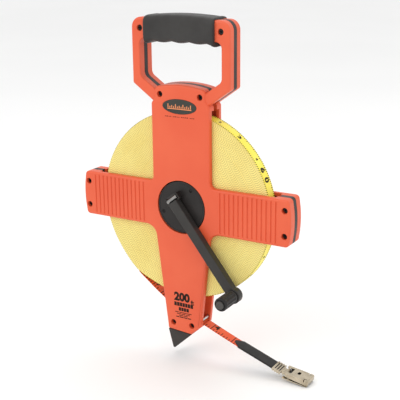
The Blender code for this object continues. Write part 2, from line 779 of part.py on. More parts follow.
def crank_arm():
    placing = frame_of(CRANK_ALONG, CRANK_ACROSS)
    arm = pillow("crank_arm", crank_outline(), CRANK_FRONT, CRANK_BACK, 1.0 * MM, "black_plastic")
    moved(arm, placing)
    knuckle = fold_cylinder("crank_knuckle", 0.5 * (CRANK_BACK - CRANK_FRONT), CRANK_HALF - 0.05 * MM)
    combine(arm, knuckle, "UNION")
    combine(arm, fold_cylinder("crank_fold_bore", FOLD_PIN_R + GAP, 12 * MM), "DIFFERENCE")
    along = (FOLD_REACH - 5.2 * MM, FOLD_REACH + 2.5 * MM)
    deep = (-24 * MM, FOLD_Y - 0.2 * MM)
    window = boxes("crank_pin_window", [(along, deep, (-12 * MM, 12 * MM))])
    combine(arm, moved(window, placing), "DIFFERENCE")
    place = knob_place()
    reach = [(-25 * MM, SPINDLE_R + GAP), (-10 * MM, SPINDLE_R + GAP)]
    combine(arm, turned("crank_spindle_hole", reach, centre=place, steps=20), "DIFFERENCE")
    return arm


def knob_place():
    return (CRANK_ALONG.x * KNOB_REACH, CRANK_ALONG.z * KNOB_REACH)


def crank_hinge_pin():
    return fold_cylinder("crank_hinge_pin", FOLD_PIN_R, 6.7 * MM, "steel")


def knob_spindle():
    front = CRANK_FRONT - 0.5 * MM - KNOB_LENGTH
    profile = [
        (CRANK_BACK - 0.3 * MM, SPINDLE_R),
        (front - RUN, SPINDLE_R),
        (front - RUN, SPINDLE_CAP_R),
        (front - RUN - 1.0 * MM, SPINDLE_CAP_R),
        (front - RUN - 1.5 * MM, SPINDLE_CAP_R - 0.7 * MM),
    ]
    return turned("knob_spindle", profile, "steel", knob_place(), steps=24)


def crank_knob():
    """The fluted knob, which turns freely on its spindle."""
    centre = knob_place()
    y_back = CRANK_FRONT - 0.5 * MM
    y_front = y_back - KNOB_LENGTH
    profile = [
        (y_back, 0.86, 0.0),
        (y_back - 1.6 * MM, 0.97, 0.0),
        (y_back - 3.0 * MM, 1.0, 1.0),
        (y_front + 4.0 * MM, 1.0, 1.0),
        (y_front + 2.6 * MM, 0.99, 0.0),
        (y_front + 0.8 * MM, 0.94, 0.0),
        (y_front, 0.82, 0.0),
    ]
    steps = KNOB_FLUTES * 4
    bm = bmesh.new()
    sections = []
    for y, share, flute in profile:
        loop = []
        for k in range(steps):
            angle = 2 * pi * k / steps
            radius = KNOB_R * share - flute * 0.45 * MM * (0.5 - 0.5 * cos(KNOB_FLUTES * angle))
            loop.append(Vector((centre[0] + radius * cos(angle), centre[1] + radius * sin(angle))))
        sections.append((y, loop))
    bore = [(y, circle(SPINDLE_R + RUN, 24, centre)) for y in (y_back, y_front)]
    loft(bm, sections, bore)
    return add_object("crank_knob", bm, "black_rubber")


# Blade outside the roll


def smooth_line(points, spacing):
    """Points along a Catmull-Rom curve through points, about spacing apart."""
    points = [Vector(p) for p in points]
    ends = [2 * points[0] - points[1]] + points + [2 * points[-1] - points[-2]]
    line = []
    for a, b, c, d in zip(ends, ends[1:], ends[2:], ends[3:]):
        steps = max(2, round((c - b).length / spacing))
        for k in range(steps):
            t = k / steps
            bend = (2 * a - 5 * b + 4 * c - d) * t**2 + (3 * b - a - 3 * c + d) * t**3
            line.append(0.5 * (2 * b + (c - a) * t + bend))
    return line + [points[-1]]


def blade_way():
    """The whole way in metres, and how many of its points lie before the outlet."""
    laps = [(r * sin(radians(turn)), -r * cos(radians(turn))) for turn, r in LAP_POINTS]
    points = [(x * MM, z * MM) for x, z in laps + RUN_POINTS + FREE_POINTS]
    line = smooth_line(points, 5.0 * MM)
    outlet = sum(1 for p in line if p.x < OUTLET_X - 0.1 * MM)
    return line, outlet


def band(line, thick, half_width, name, kind=None):
    """A flat band of that thickness along line, with its width along Y."""
    upper, lower = [], []
    for i, here in enumerate(line):
        run = (line[min(i + 1, len(line) - 1)] - line[max(i - 1, 0)]).normalized()
        normal = Vector((-run.y, run.x))
        upper.append(here + normal * thick / 2)
        lower.append(here - normal * thick / 2)
    return plate(name, upper + lower[::-1], -half_width, half_width, kind)


def blade_run():
    """The blade's first stretch, from where it leaves the roll to the outlet."""
    line, outlet = blade_way()
    return band(line[:outlet], BLADE_THICK, BLADE_WIDTH / 2, "blade_run", "blade_orange")


def free_line():
    line, outlet = blade_way()
    free = line[outlet:]
    start = free[0]
    free[0] = start + (free[1] - start).normalized() * GAP
    return free


def blade_free_end():
    return band(free_line(), BLADE_THICK, BLADE_WIDTH / 2, "blade_free_end", "blade_orange")


def end_sleeve():
    """The vinyl sleeve over the blade's end."""
    line = [p for p in free_line() if p.x > SLEEVE_X]
    sleeve = band(line, 2.1 * MM, 7.1 * MM, "end_sleeve", "vinyl")
    inside = free_line()
    inside[-1] = inside[-1] + (inside[-1] - inside[-2]).normalized() * 2 * MM
    combine(sleeve, band(inside, BLADE_THICK + 2 * GAP, BLADE_WIDTH / 2 + GAP, "sleeve_slot"), "DIFFERENCE")
    return sleeve


def end_ferrule():
    """The crimped ferrule on the blade's end, with three slots, and the knuckle that the hook hangs on."""
    line = free_line()
    along = (line[-1] - line[-2]).normalized()
    end = (line[-1].x, 0.0, line[-1].y)
    placing = frame_of((along.x, 0.0, along.y), (-along.y, 0.0, along.x), end)
    length, half = FERRULE_LENGTH, FERRULE_HALF_WIDTH
    ferrule = boxes("end_ferrule", [((GAP, length), (-half, half), (-1.5 * MM, 1.5 * MM))], "nickel")
    moved(ferrule, placing)
    through = (-3 * MM, 3 * MM)
    slot_width = (-half + 1.8 * MM, half - 1.8 * MM)
    slots = [((x * MM, (x + 1.1) * MM), slot_width, through) for x in (2.4, 4.9, 7.4)]
    combine(ferrule, moved(boxes("ferrule_slots", slots), placing), "DIFFERENCE")
    notch = [((9.8 * MM, 20 * MM), (y0 * MM, y1 * MM), through) for y0, y1 in ((-9, -4.4), (4.4, 9))]
    combine(ferrule, moved(boxes("ferrule_notches", notch), placing), "DIFFERENCE")
    knuckle_ends = [(-4.3 * MM, 2.1 * MM), (4.3 * MM, 2.1 * MM)]
    knuckle = turned("ferrule_knuckle", knuckle_ends, centre=HOOK_PIVOT, steps=20)
    combine(ferrule, knuckle, "UNION")
    bore_ends = [(-9 * MM, HOOK_PIN_R + GAP), (9 * MM, HOOK_PIN_R + GAP)]
    bore = turned("ferrule_bore", bore_ends, centre=HOOK_PIVOT, steps=16)
    combine(ferrule, bore, "DIFFERENCE")
    return ferrule


def hook_pin():
    ends = [(-6.8 * MM, HOOK_PIN_R), (6.8 * MM, HOOK_PIN_R)]
    return turned("hook_pin", ends, "steel", HOOK_PIVOT, steps=16)


def hook_plate():
    """The folded hook: a flanged top plate with a notch and a slot, and a lower plate returned under it."""
    placing = frame_of(
        (cos(HOOK_TILT), 0.0, -sin(HOOK_TILT)),
        (sin(HOOK_TILT), 0.0, cos(HOOK_TILT)),
        (HOOK_PIVOT[0], 0.0, HOOK_PIVOT[1]),
    )
    half, sheet = HOOK_HALF_WIDTH, HOOK_SHEET
    top, bottom = 3.4 * MM, -3.6 * MM
    hook = boxes("hook_plate", [((-1.8 * MM, HOOK_LENGTH), (-half, half), (bottom, top))], "nickel")
    moved(hook, placing)
    return_top = bottom + sheet
    flange_bottom = -1.9 * MM
    rooms = [
        ((-5 * MM, HOOK_LENGTH - sheet), (-half + sheet, half - sheet), (return_top, top - sheet)),
        ((-5 * MM, HOOK_LENGTH - sheet), (-half - MM, half + MM), (return_top, flange_bottom)),
    ]
    for k, room in enumerate(rooms):
        combine(hook, moved(boxes(f"hook_room_{k + 1}", [room]), placing), "DIFFERENCE")
    cuts = [
        ((-5 * MM, 6.0 * MM), (-4.9 * MM, 4.9 * MM), (0.0, 5 * MM)),
        ((11.0 * MM, 14.2 * MM), (-1.2 * MM, 3.0 * MM), (0.0, 5 * MM)),
    ]
    combine(hook, moved(boxes("hook_cuts", cuts), placing), "DIFFERENCE")
    bore_ends = [(-9 * MM, HOOK_PIN_R + GAP), (9 * MM, HOOK_PIN_R + GAP)]
    bore = turned("hook_bore", bore_ends, centre=HOOK_PIVOT, steps=16)
    combine(hook, bore, "DIFFERENCE")
    return hook


# Assembly


def lower_to_grip():
    """Lower every piece and cutter together, so that the origin is the middle of the hand grip."""
    held = add_pivot("grip_centre", (0.0, 0.0, 0.0))
    for obj in bpy.data.objects:
        if obj.parent is None and obj is not held:
            obj.parent = held
    held.location.z = -GRIP_Z


def build():
    clear_scene()
    front_frame_half()
    rear_frame_half()
    handle_seam_strip()
    arm_seam_strip("left_arm_seam_strip", -1, ("left_arm_upper", "left_arm_lower"))
    arm_seam_strip("right_arm_seam_strip", 1, ("right_arm_upper", "right_arm_lower"))
    hand_grip()
    ground_spike()
    badge_plate()
    frame_screws()
    guide_pin()
    rear_bush()
    blade_run()
    blade_free_end()
    end_sleeve()
    end_ferrule()
    hook_pin()

    spool = add_pivot("spool_axis", (0.0, 0.0, 0.0))
    hang_on(spool, hub_drum(), blade_roll(), blade_anchor_pin(), drive_disc(), *disc_screws())
    hang_on(spool, rear_cap(), rear_cap_screw(), crank_hinge_pin())
    fold_place = CRANK_ALONG * FOLD_REACH + Vector((0.0, FOLD_Y, 0.0))
    fold = add_pivot("crank_fold_axis", fold_place, spool)
    hang_on(fold, crank_arm(), knob_spindle())
    place = knob_place()
    knob = add_pivot("knob_axis", (place[0], CRANK_FRONT, place[1]), fold)
    hang_on(knob, crank_knob())
    hook = add_pivot("hook_axis", (HOOK_PIVOT[0], 0.0, HOOK_PIVOT[1]))
    hang_on(hook, hook_plate())
    lower_to_grip()


build()
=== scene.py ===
import random
from math import atan2, cos, exp, pi, radians, sin, sqrt, tan

import bmesh
import bpy
from mathutils import Matrix, Vector


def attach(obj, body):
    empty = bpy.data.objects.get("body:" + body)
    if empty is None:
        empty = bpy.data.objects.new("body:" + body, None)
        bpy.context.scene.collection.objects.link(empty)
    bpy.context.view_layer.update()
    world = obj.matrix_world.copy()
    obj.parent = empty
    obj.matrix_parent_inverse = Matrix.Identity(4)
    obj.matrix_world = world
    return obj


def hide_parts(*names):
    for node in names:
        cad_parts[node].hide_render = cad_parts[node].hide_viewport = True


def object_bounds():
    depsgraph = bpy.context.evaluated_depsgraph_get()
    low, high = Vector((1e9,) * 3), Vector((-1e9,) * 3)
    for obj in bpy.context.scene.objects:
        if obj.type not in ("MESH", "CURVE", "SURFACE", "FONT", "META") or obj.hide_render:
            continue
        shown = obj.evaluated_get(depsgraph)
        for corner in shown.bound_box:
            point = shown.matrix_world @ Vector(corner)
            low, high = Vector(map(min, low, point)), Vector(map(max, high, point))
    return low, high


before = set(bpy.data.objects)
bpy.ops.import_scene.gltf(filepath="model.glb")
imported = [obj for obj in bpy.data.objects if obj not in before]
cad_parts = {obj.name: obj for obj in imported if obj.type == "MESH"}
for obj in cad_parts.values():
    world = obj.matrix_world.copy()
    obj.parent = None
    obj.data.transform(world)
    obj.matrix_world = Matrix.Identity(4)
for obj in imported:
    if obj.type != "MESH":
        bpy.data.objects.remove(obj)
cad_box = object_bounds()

# An open-frame surveyor's tape reel. Metres, in the CAD's frame: the origin is the middle of the hand grip.
# Shapes are worked out with the spool's axis on Y through the origin, then lowered by GRIP_Z.

MM = 0.001
INCH = 25.4 * MM
GRIP_Z = 173.0 * MM
GAP = 0.3 * MM  # between pieces that are fixed together
RUN = 0.4 * MM  # round what turns

BLADE_WIDTH = 12.7 * MM
BLADE_HALF_THICK = 0.25 * MM
ROLL_R = 95.0 * MM
DRUM_R = 36.0 * MM
ROLL_INNER = DRUM_R + 0.3 * MM
LAPS = 152
LAP_PITCH = (ROLL_R - 0.4 * MM - DRUM_R - 0.3 * MM) / LAPS
MARK_PITCH = 2.0 * MM
MARK_LAPS = 3  # laps whose marks stand in step
FRAME_HALF = 12.7 * MM

CAMERA_PLACE = Vector((0.4505, -0.7421, 0.0899))
CAMERA_TARGET = Vector((0.0101, 0.0074, -0.1691))
CAMERA_LENS = 81.74
CAMERA_SENSOR = 36.0
CAMERA_CLIP = (0.05, 20.0)
CAMERA_ROLL = radians(-0.59)
LIGHT_TARGET = Vector((0.0, 0.0, -0.16))
LIGHTS = [  # name, place, size, power, colour
    ("key", (-0.75, -1.35, 0.95), (1.0, 1.0), 7.0, (1.0, 0.985, 0.96)),
    ("fill", (1.5, -0.75, 0.35), (1.0, 1.2), 3.0, (0.97, 0.985, 1.0)),
    ("top", (0.1, 0.5, 1.4), (1.2, 1.0), 5.0, (1.0, 1.0, 1.0)),
]
WORLD_STRENGTH = 0.95
FLOOR_REACH = 6.0


def mm(*points):
    """Points given in millimetres, in metres."""
    return [tuple(value * MM for value in point) for point in points]


def add_object(name, data):
    obj = bpy.data.objects.new(name, data)
    bpy.context.scene.collection.objects.link(obj)
    return obj


# Camera and light


def studio_camera():
    data = bpy.data.cameras.new("camera")
    data.sensor_width = CAMERA_SENSOR
    data.lens = CAMERA_LENS
    data.clip_start, data.clip_end = CAMERA_CLIP
    camera = add_object("camera", data)
    turn = (CAMERA_TARGET - CAMERA_PLACE).to_track_quat("-Z", "Y").to_matrix().to_4x4()
    camera.matrix_world = Matrix.Translation(CAMERA_PLACE) @ turn @ Matrix.Rotation(CAMERA_ROLL, 4, "Z")
    bpy.context.scene.camera = camera


def studio():
    scene = bpy.context.scene
    scene.view_settings.view_transform = "Standard"
    scene.world = bpy.data.worlds.new("studio")
    scene.world.use_nodes = True
    sky = scene.world.node_tree.nodes["Background"].inputs
    sky["Color"].default_value = (1.0, 1.0, 1.0, 1.0)
    sky["Strength"].default_value = WORLD_STRENGTH
    for name, place, size, power, colour in LIGHTS:
        data = bpy.data.lights.new(name, "AREA")
        data.shape = "RECTANGLE"
        data.size, data.size_y = size
        data.energy = power
        data.color = colour
        light = add_object(name, data)
        light.location = place
        light.rotation_euler = (LIGHT_TARGET - Vector(place)).to_track_quat("-Z", "Y").to_euler()


# Materials


def as_colour(rgb):
    return (*rgb, 1.0)


class Surface:
    """A Principled material and short calls that add nodes to it."""

    def __init__(self, name, roughness=0.5, metallic=0.0, **sockets):
        self.material = bpy.data.materials.new(name)
        self.material.use_nodes = True
        self.tree = self.material.node_tree
        self.shader = self.tree.nodes["Principled BSDF"]
        self.shader.inputs["Roughness"].default_value = roughness
        self.shader.inputs["Metallic"].default_value = metallic
        for socket, value in sockets.items():
            self.shader.inputs[socket.replace("_", " ")].default_value = value
        self.place = self.tree.nodes.new("ShaderNodeTexCoord").outputs["Object"]

    def node(self, kind, values=(), **settings):
        node = self.tree.nodes.new(kind)
        for key, value in settings.items():
            setattr(node, key, value)
        for key, value in dict(values).items():
            if isinstance(value, bpy.types.NodeSocket):
                self.tree.links.new(value, node.inputs[key])
            else:
                node.inputs[key].default_value = value
        return node

    def math(self, operation, *values):
        return self.node("ShaderNodeMath", enumerate(values), operation=operation).outputs[0]

    def scaled(self, size, turn=(0.0, 0.0, 0.0)):
        """The object's coordinates, stretched, so that a texture runs long in one direction."""
        mapping = self.node("ShaderNodeMapping", {"Vector": self.place, "Scale": size, "Rotation": turn})
        return mapping.outputs[0]

    def noise(self, scale, detail=2.0, roughness=0.5, at=None):
        values = {"Vector": at or self.place, "Scale": scale, "Detail": detail, "Roughness": roughness}
        return self.node("ShaderNodeTexNoise", values).outputs["Fac"]

    def cells(self, scale):
        values = {"Vector": self.place, "Scale": scale}
        return self.node("ShaderNodeTexVoronoi", values, feature="F1").outputs["Distance"]

    def spread(self, value, low, high, out_low=0.0, out_high=1.0):
        values = {0: value, 1: low, 2: high, 3: out_low, 4: out_high}
        return self.node("ShaderNodeMapRange", values, interpolation_type="SMOOTHSTEP").outputs[0]

    def mix(self, share, first, second):
        mixer = self.node("ShaderNodeMix", data_type="RGBA")
        for index, value in ((0, share), (6, first), (7, second)):
            if isinstance(value, bpy.types.NodeSocket):
                self.tree.links.new(value, mixer.inputs[index])
            else:
                mixer.inputs[index].default_value = as_colour(value) if index else value
        return mixer.outputs[2]

    def edges(self, radius):
        """1 along sharp convex and concave edges, and 0 on the flat."""
        bevel = self.node("ShaderNodeBevel", {"Radius": radius}, samples=4).outputs[0]
        flat = self.tree.nodes.new("ShaderNodeNewGeometry").outputs["Normal"]
        dot = self.node("ShaderNodeVectorMath", {0: bevel, 1: flat}, operation="DOT_PRODUCT").outputs["Value"]
        return self.spread(dot, 0.985, 0.80)

    def hollows(self, reach):
        """1 deep in gaps and corners, and 0 in the open."""
        open_sky = self.node("ShaderNodeAmbientOcclusion", {"Distance": reach}, samples=8).outputs["AO"]
        return self.spread(open_sky, 0.85, 0.25)

    def bump(self, height, strength, distance, under=None):
        values = {"Height": height, "Strength": strength, "Distance": distance}
        if under:
            values["Normal"] = under
        return self.node("ShaderNodeBump", values).outputs[0]

    def finish(self, colour=None, roughness=None, normal=None):
        for socket, value in (("Base Color", colour), ("Roughness", roughness), ("Normal", normal)):
            if value is not None:
                self.tree.links.new(value, self.shader.inputs[socket])
        return self.material


def moulded_orange():
    s = Surface("moulded_orange", Specular_IOR_Level=0.42)
    cloud = s.noise(14.0, 3.0)
    speck = s.noise(900.0, 2.0)
    rub = s.noise(60.0, 4.0, 0.6, at=s.scaled((1.0, 1.0, 7.0), (0.0, 0.5, 0.0)))
    colour = s.mix(s.spread(cloud, 0.35, 0.65), (0.72, 0.098, 0.036), (0.75, 0.115, 0.044))
    colour = s.mix(s.spread(speck, 0.62, 0.80, 0.0, 0.25), colour, (0.66, 0.080, 0.028))
    # Lighter along the edges: a painted highlight, with a little stress whitening.
    colour = s.mix(s.math("MULTIPLY", s.edges(0.7 * MM), 0.22), colour, (0.90, 0.24, 0.11))
    roughness = s.math("ADD", s.spread(rub, 0.45, 0.75, 0.36, 0.46), s.spread(speck, 0.3, 0.7, 0.0, 0.06))
    grain = s.bump(s.noise(1900.0, 3.0, 0.6), 0.16, 0.10 * MM)
    return s.finish(colour, roughness, s.bump(cloud, 0.10, 0.5 * MM, under=grain))


def dark_rubber(name, base, light, pebble, strength):
    s = Surface(name, Specular_IOR_Level=0.30, Sheen_Weight=0.12, Sheen_Roughness=0.4)
    cloud = s.noise(22.0, 3.0)
    cell = s.cells(pebble)
    colour = s.mix(s.spread(cloud, 0.35, 0.7), base, light)
    roughness = s.spread(s.noise(70.0, 4.0, 0.65), 0.3, 0.75, 0.52, 0.74)
    pebbles = s.bump(cell, strength, 0.16 * MM)
    return s.finish(colour, roughness, s.bump(s.noise(pebble * 2.7, 2.0), 0.12, 0.08 * MM, under=pebbles))


def dark_plastic(name, base, light, roughness=(0.34, 0.48), grain=0.12):
    s = Surface(name, Specular_IOR_Level=0.30)
    cloud = s.noise(25.0, 3.0)
    speck = s.noise(1300.0, 3.0, 0.6)
    scuff = s.noise(240.0, 4.0, 0.65, at=s.scaled((1.0, 1.0, 0.12), (0.0, 0.65, 0.0)))
    colour = s.mix(s.spread(cloud, 0.35, 0.7), base, light)
    colour = s.mix(s.spread(scuff, 0.66, 0.78, 0.0, 0.35), colour, [c * 1.9 for c in light])
    # Lighter along the edges: a painted highlight.
    colour = s.mix(s.math("MULTIPLY", s.edges(0.5 * MM), 0.45), colour, [c * 2.2 for c in light])
    rough = s.spread(s.noise(80.0, 3.0, 0.6), 0.3, 0.7, *roughness)
    return s.finish(colour, rough, s.bump(speck, grain, 0.10 * MM))


def bright_metal(name, base, dull, roughness, stretch=(1.0, 1.0, 14.0), scale=160.0):
    s = Surface(name, metallic=1.0)
    cloud = s.noise(90.0, 3.0)
    brushed = s.noise(scale, 3.0, 0.6, at=s.scaled(stretch))
    colour = s.mix(s.spread(cloud, 0.35, 0.75), base, dull)
    # Lighter along the edges: a painted highlight.
    colour = s.mix(s.math("MULTIPLY", s.edges(0.35 * MM), 0.6), colour, [min(1.0, c * 1.6) for c in base])
    # Near black in gaps and corners: painted shade in the crevices.
    crevice_shade = s.math("MULTIPLY", s.hollows(2.5 * MM), 0.9)
    colour = s.mix(crevice_shade, colour, [c * 0.05 for c in dull])
    brush_rough = s.spread(brushed, 0.3, 0.7, roughness, roughness + 0.14)
    rough = s.math("ADD", brush_rough, s.spread(cloud, 0.4, 0.8, 0.0, 0.1))
    return s.finish(colour, rough, s.bump(brushed, 0.08, 0.03 * MM))


def roll_face():
    """The wound blade from the side: the edges of the laps, and the ends of the marks printed on each."""
    s = Surface("wound_edges", Specular_IOR_Level=0.25)
    part = s.node("ShaderNodeSeparateXYZ", {0: s.place})
    x, z = part.outputs[0], s.math("ADD", part.outputs[2], GRIP_Z)
    radius = s.math("SQRT", s.math("ADD", s.math("MULTIPLY", x, x), s.math("MULTIPLY", z, z)))
    angle = s.math("ARCTAN2", z, x)
    laps = s.math("DIVIDE", s.math("SUBTRACT", radius, ROLL_INNER), LAP_PITCH)
    lap = s.math("MULTIPLY", s.math("FLOOR", s.math("MULTIPLY", laps, 1 / MARK_LAPS)), float(MARK_LAPS))
    within = s.math("FRACT", laps)
    lap_r = s.math("MULTIPLY_ADD", lap, LAP_PITCH, ROLL_INNER)
    middle_r = s.math("MULTIPLY_ADD", lap, 0.5 * LAP_PITCH, ROLL_INNER)
    before = s.math("MULTIPLY", middle_r, s.math("MULTIPLY", lap, 2 * pi))
    along = s.math("DIVIDE", s.math("MULTIPLY_ADD", angle, lap_r, before), MARK_PITCH)
    mark = s.math("LESS_THAN", s.math("FRACT", along), 0.30)
    gap = s.math("LESS_THAN", within, 0.16)
    cloud = s.noise(30.0, 3.0)
    colour = s.mix(s.spread(cloud, 0.35, 0.7), (0.94, 0.80, 0.275), (0.90, 0.74, 0.235))
    colour = s.mix(s.math("MULTIPLY", mark, 0.55), colour, (0.34, 0.24, 0.06))
    # Darker in the gaps between laps: painted shade.
    colour = s.mix(s.math("MULTIPLY", gap, 0.15), colour, (0.42, 0.30, 0.08))
    rough = s.spread(s.noise(300.0, 3.0), 0.3, 0.7, 0.50, 0.66)
    return s.finish(colour, rough, s.bump(s.noise(1500.0, 2.0), 0.12, 0.06 * MM))


def blade_face(name, base, light, warp):
    """Coated glass-fibre cloth: fine threads along the blade under a glossy skin."""
    s = Surface(name, Specular_IOR_Level=0.25, Coat_Weight=0.08, Coat_Roughness=0.3)
    cloud = s.noise(40.0, 3.0)
    threads = s.noise(700.0, 3.0, 0.6, at=s.scaled(warp))
    colour = s.mix(s.spread(cloud, 0.35, 0.7), base, light)
    colour = s.mix(s.spread(threads, 0.55, 0.75, 0.0, 0.2), colour, [c * 0.85 for c in base])
    rough = s.spread(s.noise(200.0, 3.0), 0.3, 0.7, 0.36, 0.50)
    return s.finish(colour, rough, s.bump(threads, 0.2, 0.05 * MM))


def print_ink(name, base, light):
    s = Surface(name, Specular_IOR_Level=0.15)
    cover = s.noise(1100.0, 3.0, 0.65)
    colour = s.mix(s.spread(cover, 0.5, 0.75, 0.0, 0.5), base, light)
    rough = s.spread(s.noise(400.0, 2.0), 0.3, 0.7, 0.45, 0.62)
    return s.finish(colour, rough, s.bump(cover, 0.15, 0.03 * MM))


def make_materials():
    return {
        "orange": moulded_orange(),
        "grip": dark_rubber("grip_rubber", (0.029, 0.027, 0.026), (0.040, 0.038, 0.036), 900.0, 0.35),
        "strip": dark_rubber("strip_rubber", (0.030, 0.028, 0.027), (0.042, 0.040, 0.038), 1500.0, 0.18),
        "knob": dark_rubber("knob_rubber", (0.015, 0.014, 0.014), (0.026, 0.024, 0.023), 1600.0, 0.22),
        "disc": dark_plastic("disc_plastic", (0.015, 0.0125, 0.0115), (0.023, 0.019, 0.018)),
        "crank": dark_plastic("crank_plastic", (0.028, 0.026, 0.024), (0.038, 0.035, 0.032), grain=0.2),
        "spike": dark_plastic("spike_plastic", (0.025, 0.021, 0.020), (0.037, 0.031, 0.028), (0.42, 0.56)),
        "vinyl": dark_plastic(
            "sleeve_vinyl", (0.011, 0.010, 0.009), (0.022, 0.020, 0.018), (0.42, 0.56), 0.08
        ),
        "nickel": bright_metal(
            "warm_nickel", (0.60, 0.52, 0.395), (0.36, 0.30, 0.21), 0.14, (1.0, 1.0, 1.0), 420.0
        ),
        "steel": bright_metal("bright_steel", (0.62, 0.61, 0.59), (0.50, 0.49, 0.47), 0.22),
        "pin": bright_metal("hinge_steel", (0.34, 0.335, 0.325), (0.24, 0.235, 0.23), 0.28),
        "roll_face": roll_face(),
        "lap_yellow": blade_face("blade_yellow", (0.95, 0.80, 0.085), (0.98, 0.85, 0.13), (1.0, 9.0, 1.0)),
        "leader": blade_face("blade_orange", (0.76, 0.088, 0.020), (0.82, 0.120, 0.030), (0.2, 6.0, 0.2)),
        "print_dark": print_ink("dark_ink", (0.020, 0.011, 0.007), (0.050, 0.024, 0.014)),
        "print_red": print_ink("red_ink", (0.15, 0.022, 0.012), (0.22, 0.035, 0.018)),
        "badge": dark_plastic(
            "badge_enamel", (0.036, 0.038, 0.031), (0.046, 0.048, 0.040), (0.28, 0.40), 0.06
        ),
        "badge_mark": print_ink("badge_ink", (0.85, 0.30, 0.13), (0.90, 0.42, 0.22)),
        # Dark vinyl for the clamped end in the ferrule, and for the sheet of painted shade inside the hook.
        "vinyl_and_painted_shade": dark_plastic("clamped_vinyl_and_shade_sheet", (0.012, 0.010, 0.008), (0.020, 0.017, 0.013)),
        "cap": dark_plastic("cap_plastic", (0.060, 0.058, 0.054), (0.075, 0.072, 0.068), (0.36, 0.5)),
        "screw": bright_metal("dark_steel", (0.055, 0.052, 0.050), (0.030, 0.028, 0.028), 0.34),
    }


# Floor


def floor(level):
    s = Surface("studio_floor", roughness=0.6, Specular_IOR_Level=0.2)
    cloud = s.noise(1.3, 2.0)
    colour = s.mix(s.spread(cloud, 0.3, 0.7), (0.93, 0.93, 0.927), (0.95, 0.95, 0.947))
    material = s.finish(colour, None, s.bump(s.noise(400.0, 2.0), 0.03, 0.1 * MM))
    mesh = bpy.data.meshes.new("floor")
    corners = [(x * FLOOR_REACH, y * FLOOR_REACH, level) for x, y in ((-1, -1), (1, -1), (1, 1), (-1, 1))]
    mesh.from_pydata(corners, [], [(0, 1, 2, 3)])
    mesh.materials.append(material)
    add_object("floor", mesh)


# Outlines in the reel's plane, as lists of (x, z)


def rounded(corners, steps=9):
    """The outline through corners of (x, z, radius)."""
    outline = []
    for i, (x, z, radius) in enumerate(corners):
        here = Vector((x, z))
        if radius <= 0:
            outline.append(here)
            continue
        before = (Vector(corners[i - 1][:2]) - here).normalized()
        after = (Vector(corners[(i + 1) % len(corners)][:2]) - here).normalized()
        half = before.angle(after) / 2
        centre = here + (before + after).normalized() * (radius / sin(half))
        start = here + before * (radius / tan(half)) - centre
        end = here + after * (radius / tan(half)) - centre
        first = atan2(start.y, start.x)
        turn = (atan2(end.y, end.x) - first + pi) % (2 * pi) - pi
        for k in range(steps + 1):
            angle = first + turn * k / steps
            outline.append(centre + radius * Vector((cos(angle), sin(angle))))
    return outline


def ellipse(half_x, half_z, centre=(0.0, 0.0), steps=64):
    turns = [2 * pi * k / steps for k in range(steps)]
    return [Vector((centre[0] + half_x * cos(a), centre[1] + half_z * sin(a))) for a in turns]


def circle(radius, steps=64, centre=(0.0, 0.0)):
    return ellipse(radius, radius, centre, steps)


def signed_area(outline):
    return 0.5 * sum(a.x * b.y - b.x * a.y for a, b in zip(outline, outline[1:] + outline[:1]))


def offset(outline, distance):
    """The outline moved inwards by distance, or outwards if it is negative."""
    side = 1.0 if signed_area(outline) > 0 else -1.0
    moved = []
    for i, here in enumerate(outline):
        to_here = (here - outline[i - 1]).normalized()
        onward = (outline[(i + 1) % len(outline)] - here).normalized()
        normal = Vector((-(to_here.y + onward.y), to_here.x + onward.x)).normalized()
        stretch = max(0.3, normal.dot(Vector((-onward.y, onward.x))))
        moved.append(here + normal * (side * distance / stretch))
    return moved


# Solids


def bridge(bm, loops):
    """Faces between each loop of vertices and the next."""
    for lower, upper in zip(loops, loops[1:]):
        for i in range(len(lower)):
            j = (i + 1) % len(lower)
            bm.faces.new((lower[i], lower[j], upper[j], upper[i]))


def closed(bm, loops):
    """A solid through loops of vertices, with a face over each end."""
    bridge(bm, loops)
    bm.faces.new(loops[0])
    bm.faces.new(loops[-1])


def loft(sections, opening=()):
    """One closed solid through sections of (y, outline), with an optional opening through it."""
    bm = bmesh.new()
    stacks = []
    for stack in (sections, opening):
        loops = [[bm.verts.new((p.x, y, p.y)) for p in outline] for y, outline in stack]
        bridge(bm, loops)
        if loops:
            stacks.append(loops)
    for end in (0, -1):
        ends = [loops[end] for loops in stacks]
        if len(ends) == 1:
            bm.faces.new(ends[0])
            continue
        edges = [bm.edges.get(pair) for loop in ends for pair in zip(loop, loop[1:] + loop[:1])]
        bmesh.ops.triangle_fill(bm, edges=edges, use_beauty=True)
    return bm


def rim_sections(outline, y_inner, y_outer, radius, opening=False, steps=6):
    """Sections from y_inner to y_outer, with the rim at y_outer rounded."""
    side = 1.0 if y_outer > y_inner else -1.0
    sections = [(y_inner, outline)]
    for k in range(steps + 1):
        angle = 0.5 * pi * k / steps
        inward = radius * (1 - cos(angle)) * (-1.0 if opening else 1.0)
        sections.append((y_outer - side * radius * (1 - sin(angle)), offset(outline, inward)))
    return sections


def solid(bm):
    bm.normal_update()
    bmesh.ops.recalc_face_normals(bm, faces=bm.faces)
    mesh = bpy.data.meshes.new("solid")
    bm.to_mesh(mesh)
    bm.free()
    return add_object("solid", mesh)


def plate(outline, y0, y1):
    return solid(loft([(y0, outline), (y1, outline)]))


def rounded_plate(outline, y_inner, y_outer, radius, opening=None):
    inside = rim_sections(opening, y_inner, y_outer, radius * 0.7, opening=True) if opening else ()
    return solid(loft(rim_sections(outline, y_inner, y_outer, radius), inside))


def pillow(outline, y0, y1, radius):
    """A plate with both rims rounded."""
    lower, upper = (rim_sections(outline, 0.5 * (y0 + y1), y, radius)[1:] for y in (y0, y1))
    return solid(loft(lower[::-1] + upper))


def turned(profile, centre=(0.0, 0.0), steps=64, bore=None):
    """A solid turned about Y through centre. profile is (y, radius) from end to end."""
    opening = [(y, circle(bore, steps, centre)) for y in (profile[0][0], profile[-1][0])] if bore else ()
    return solid(loft([(y, circle(r, steps, centre)) for y, r in profile], opening))


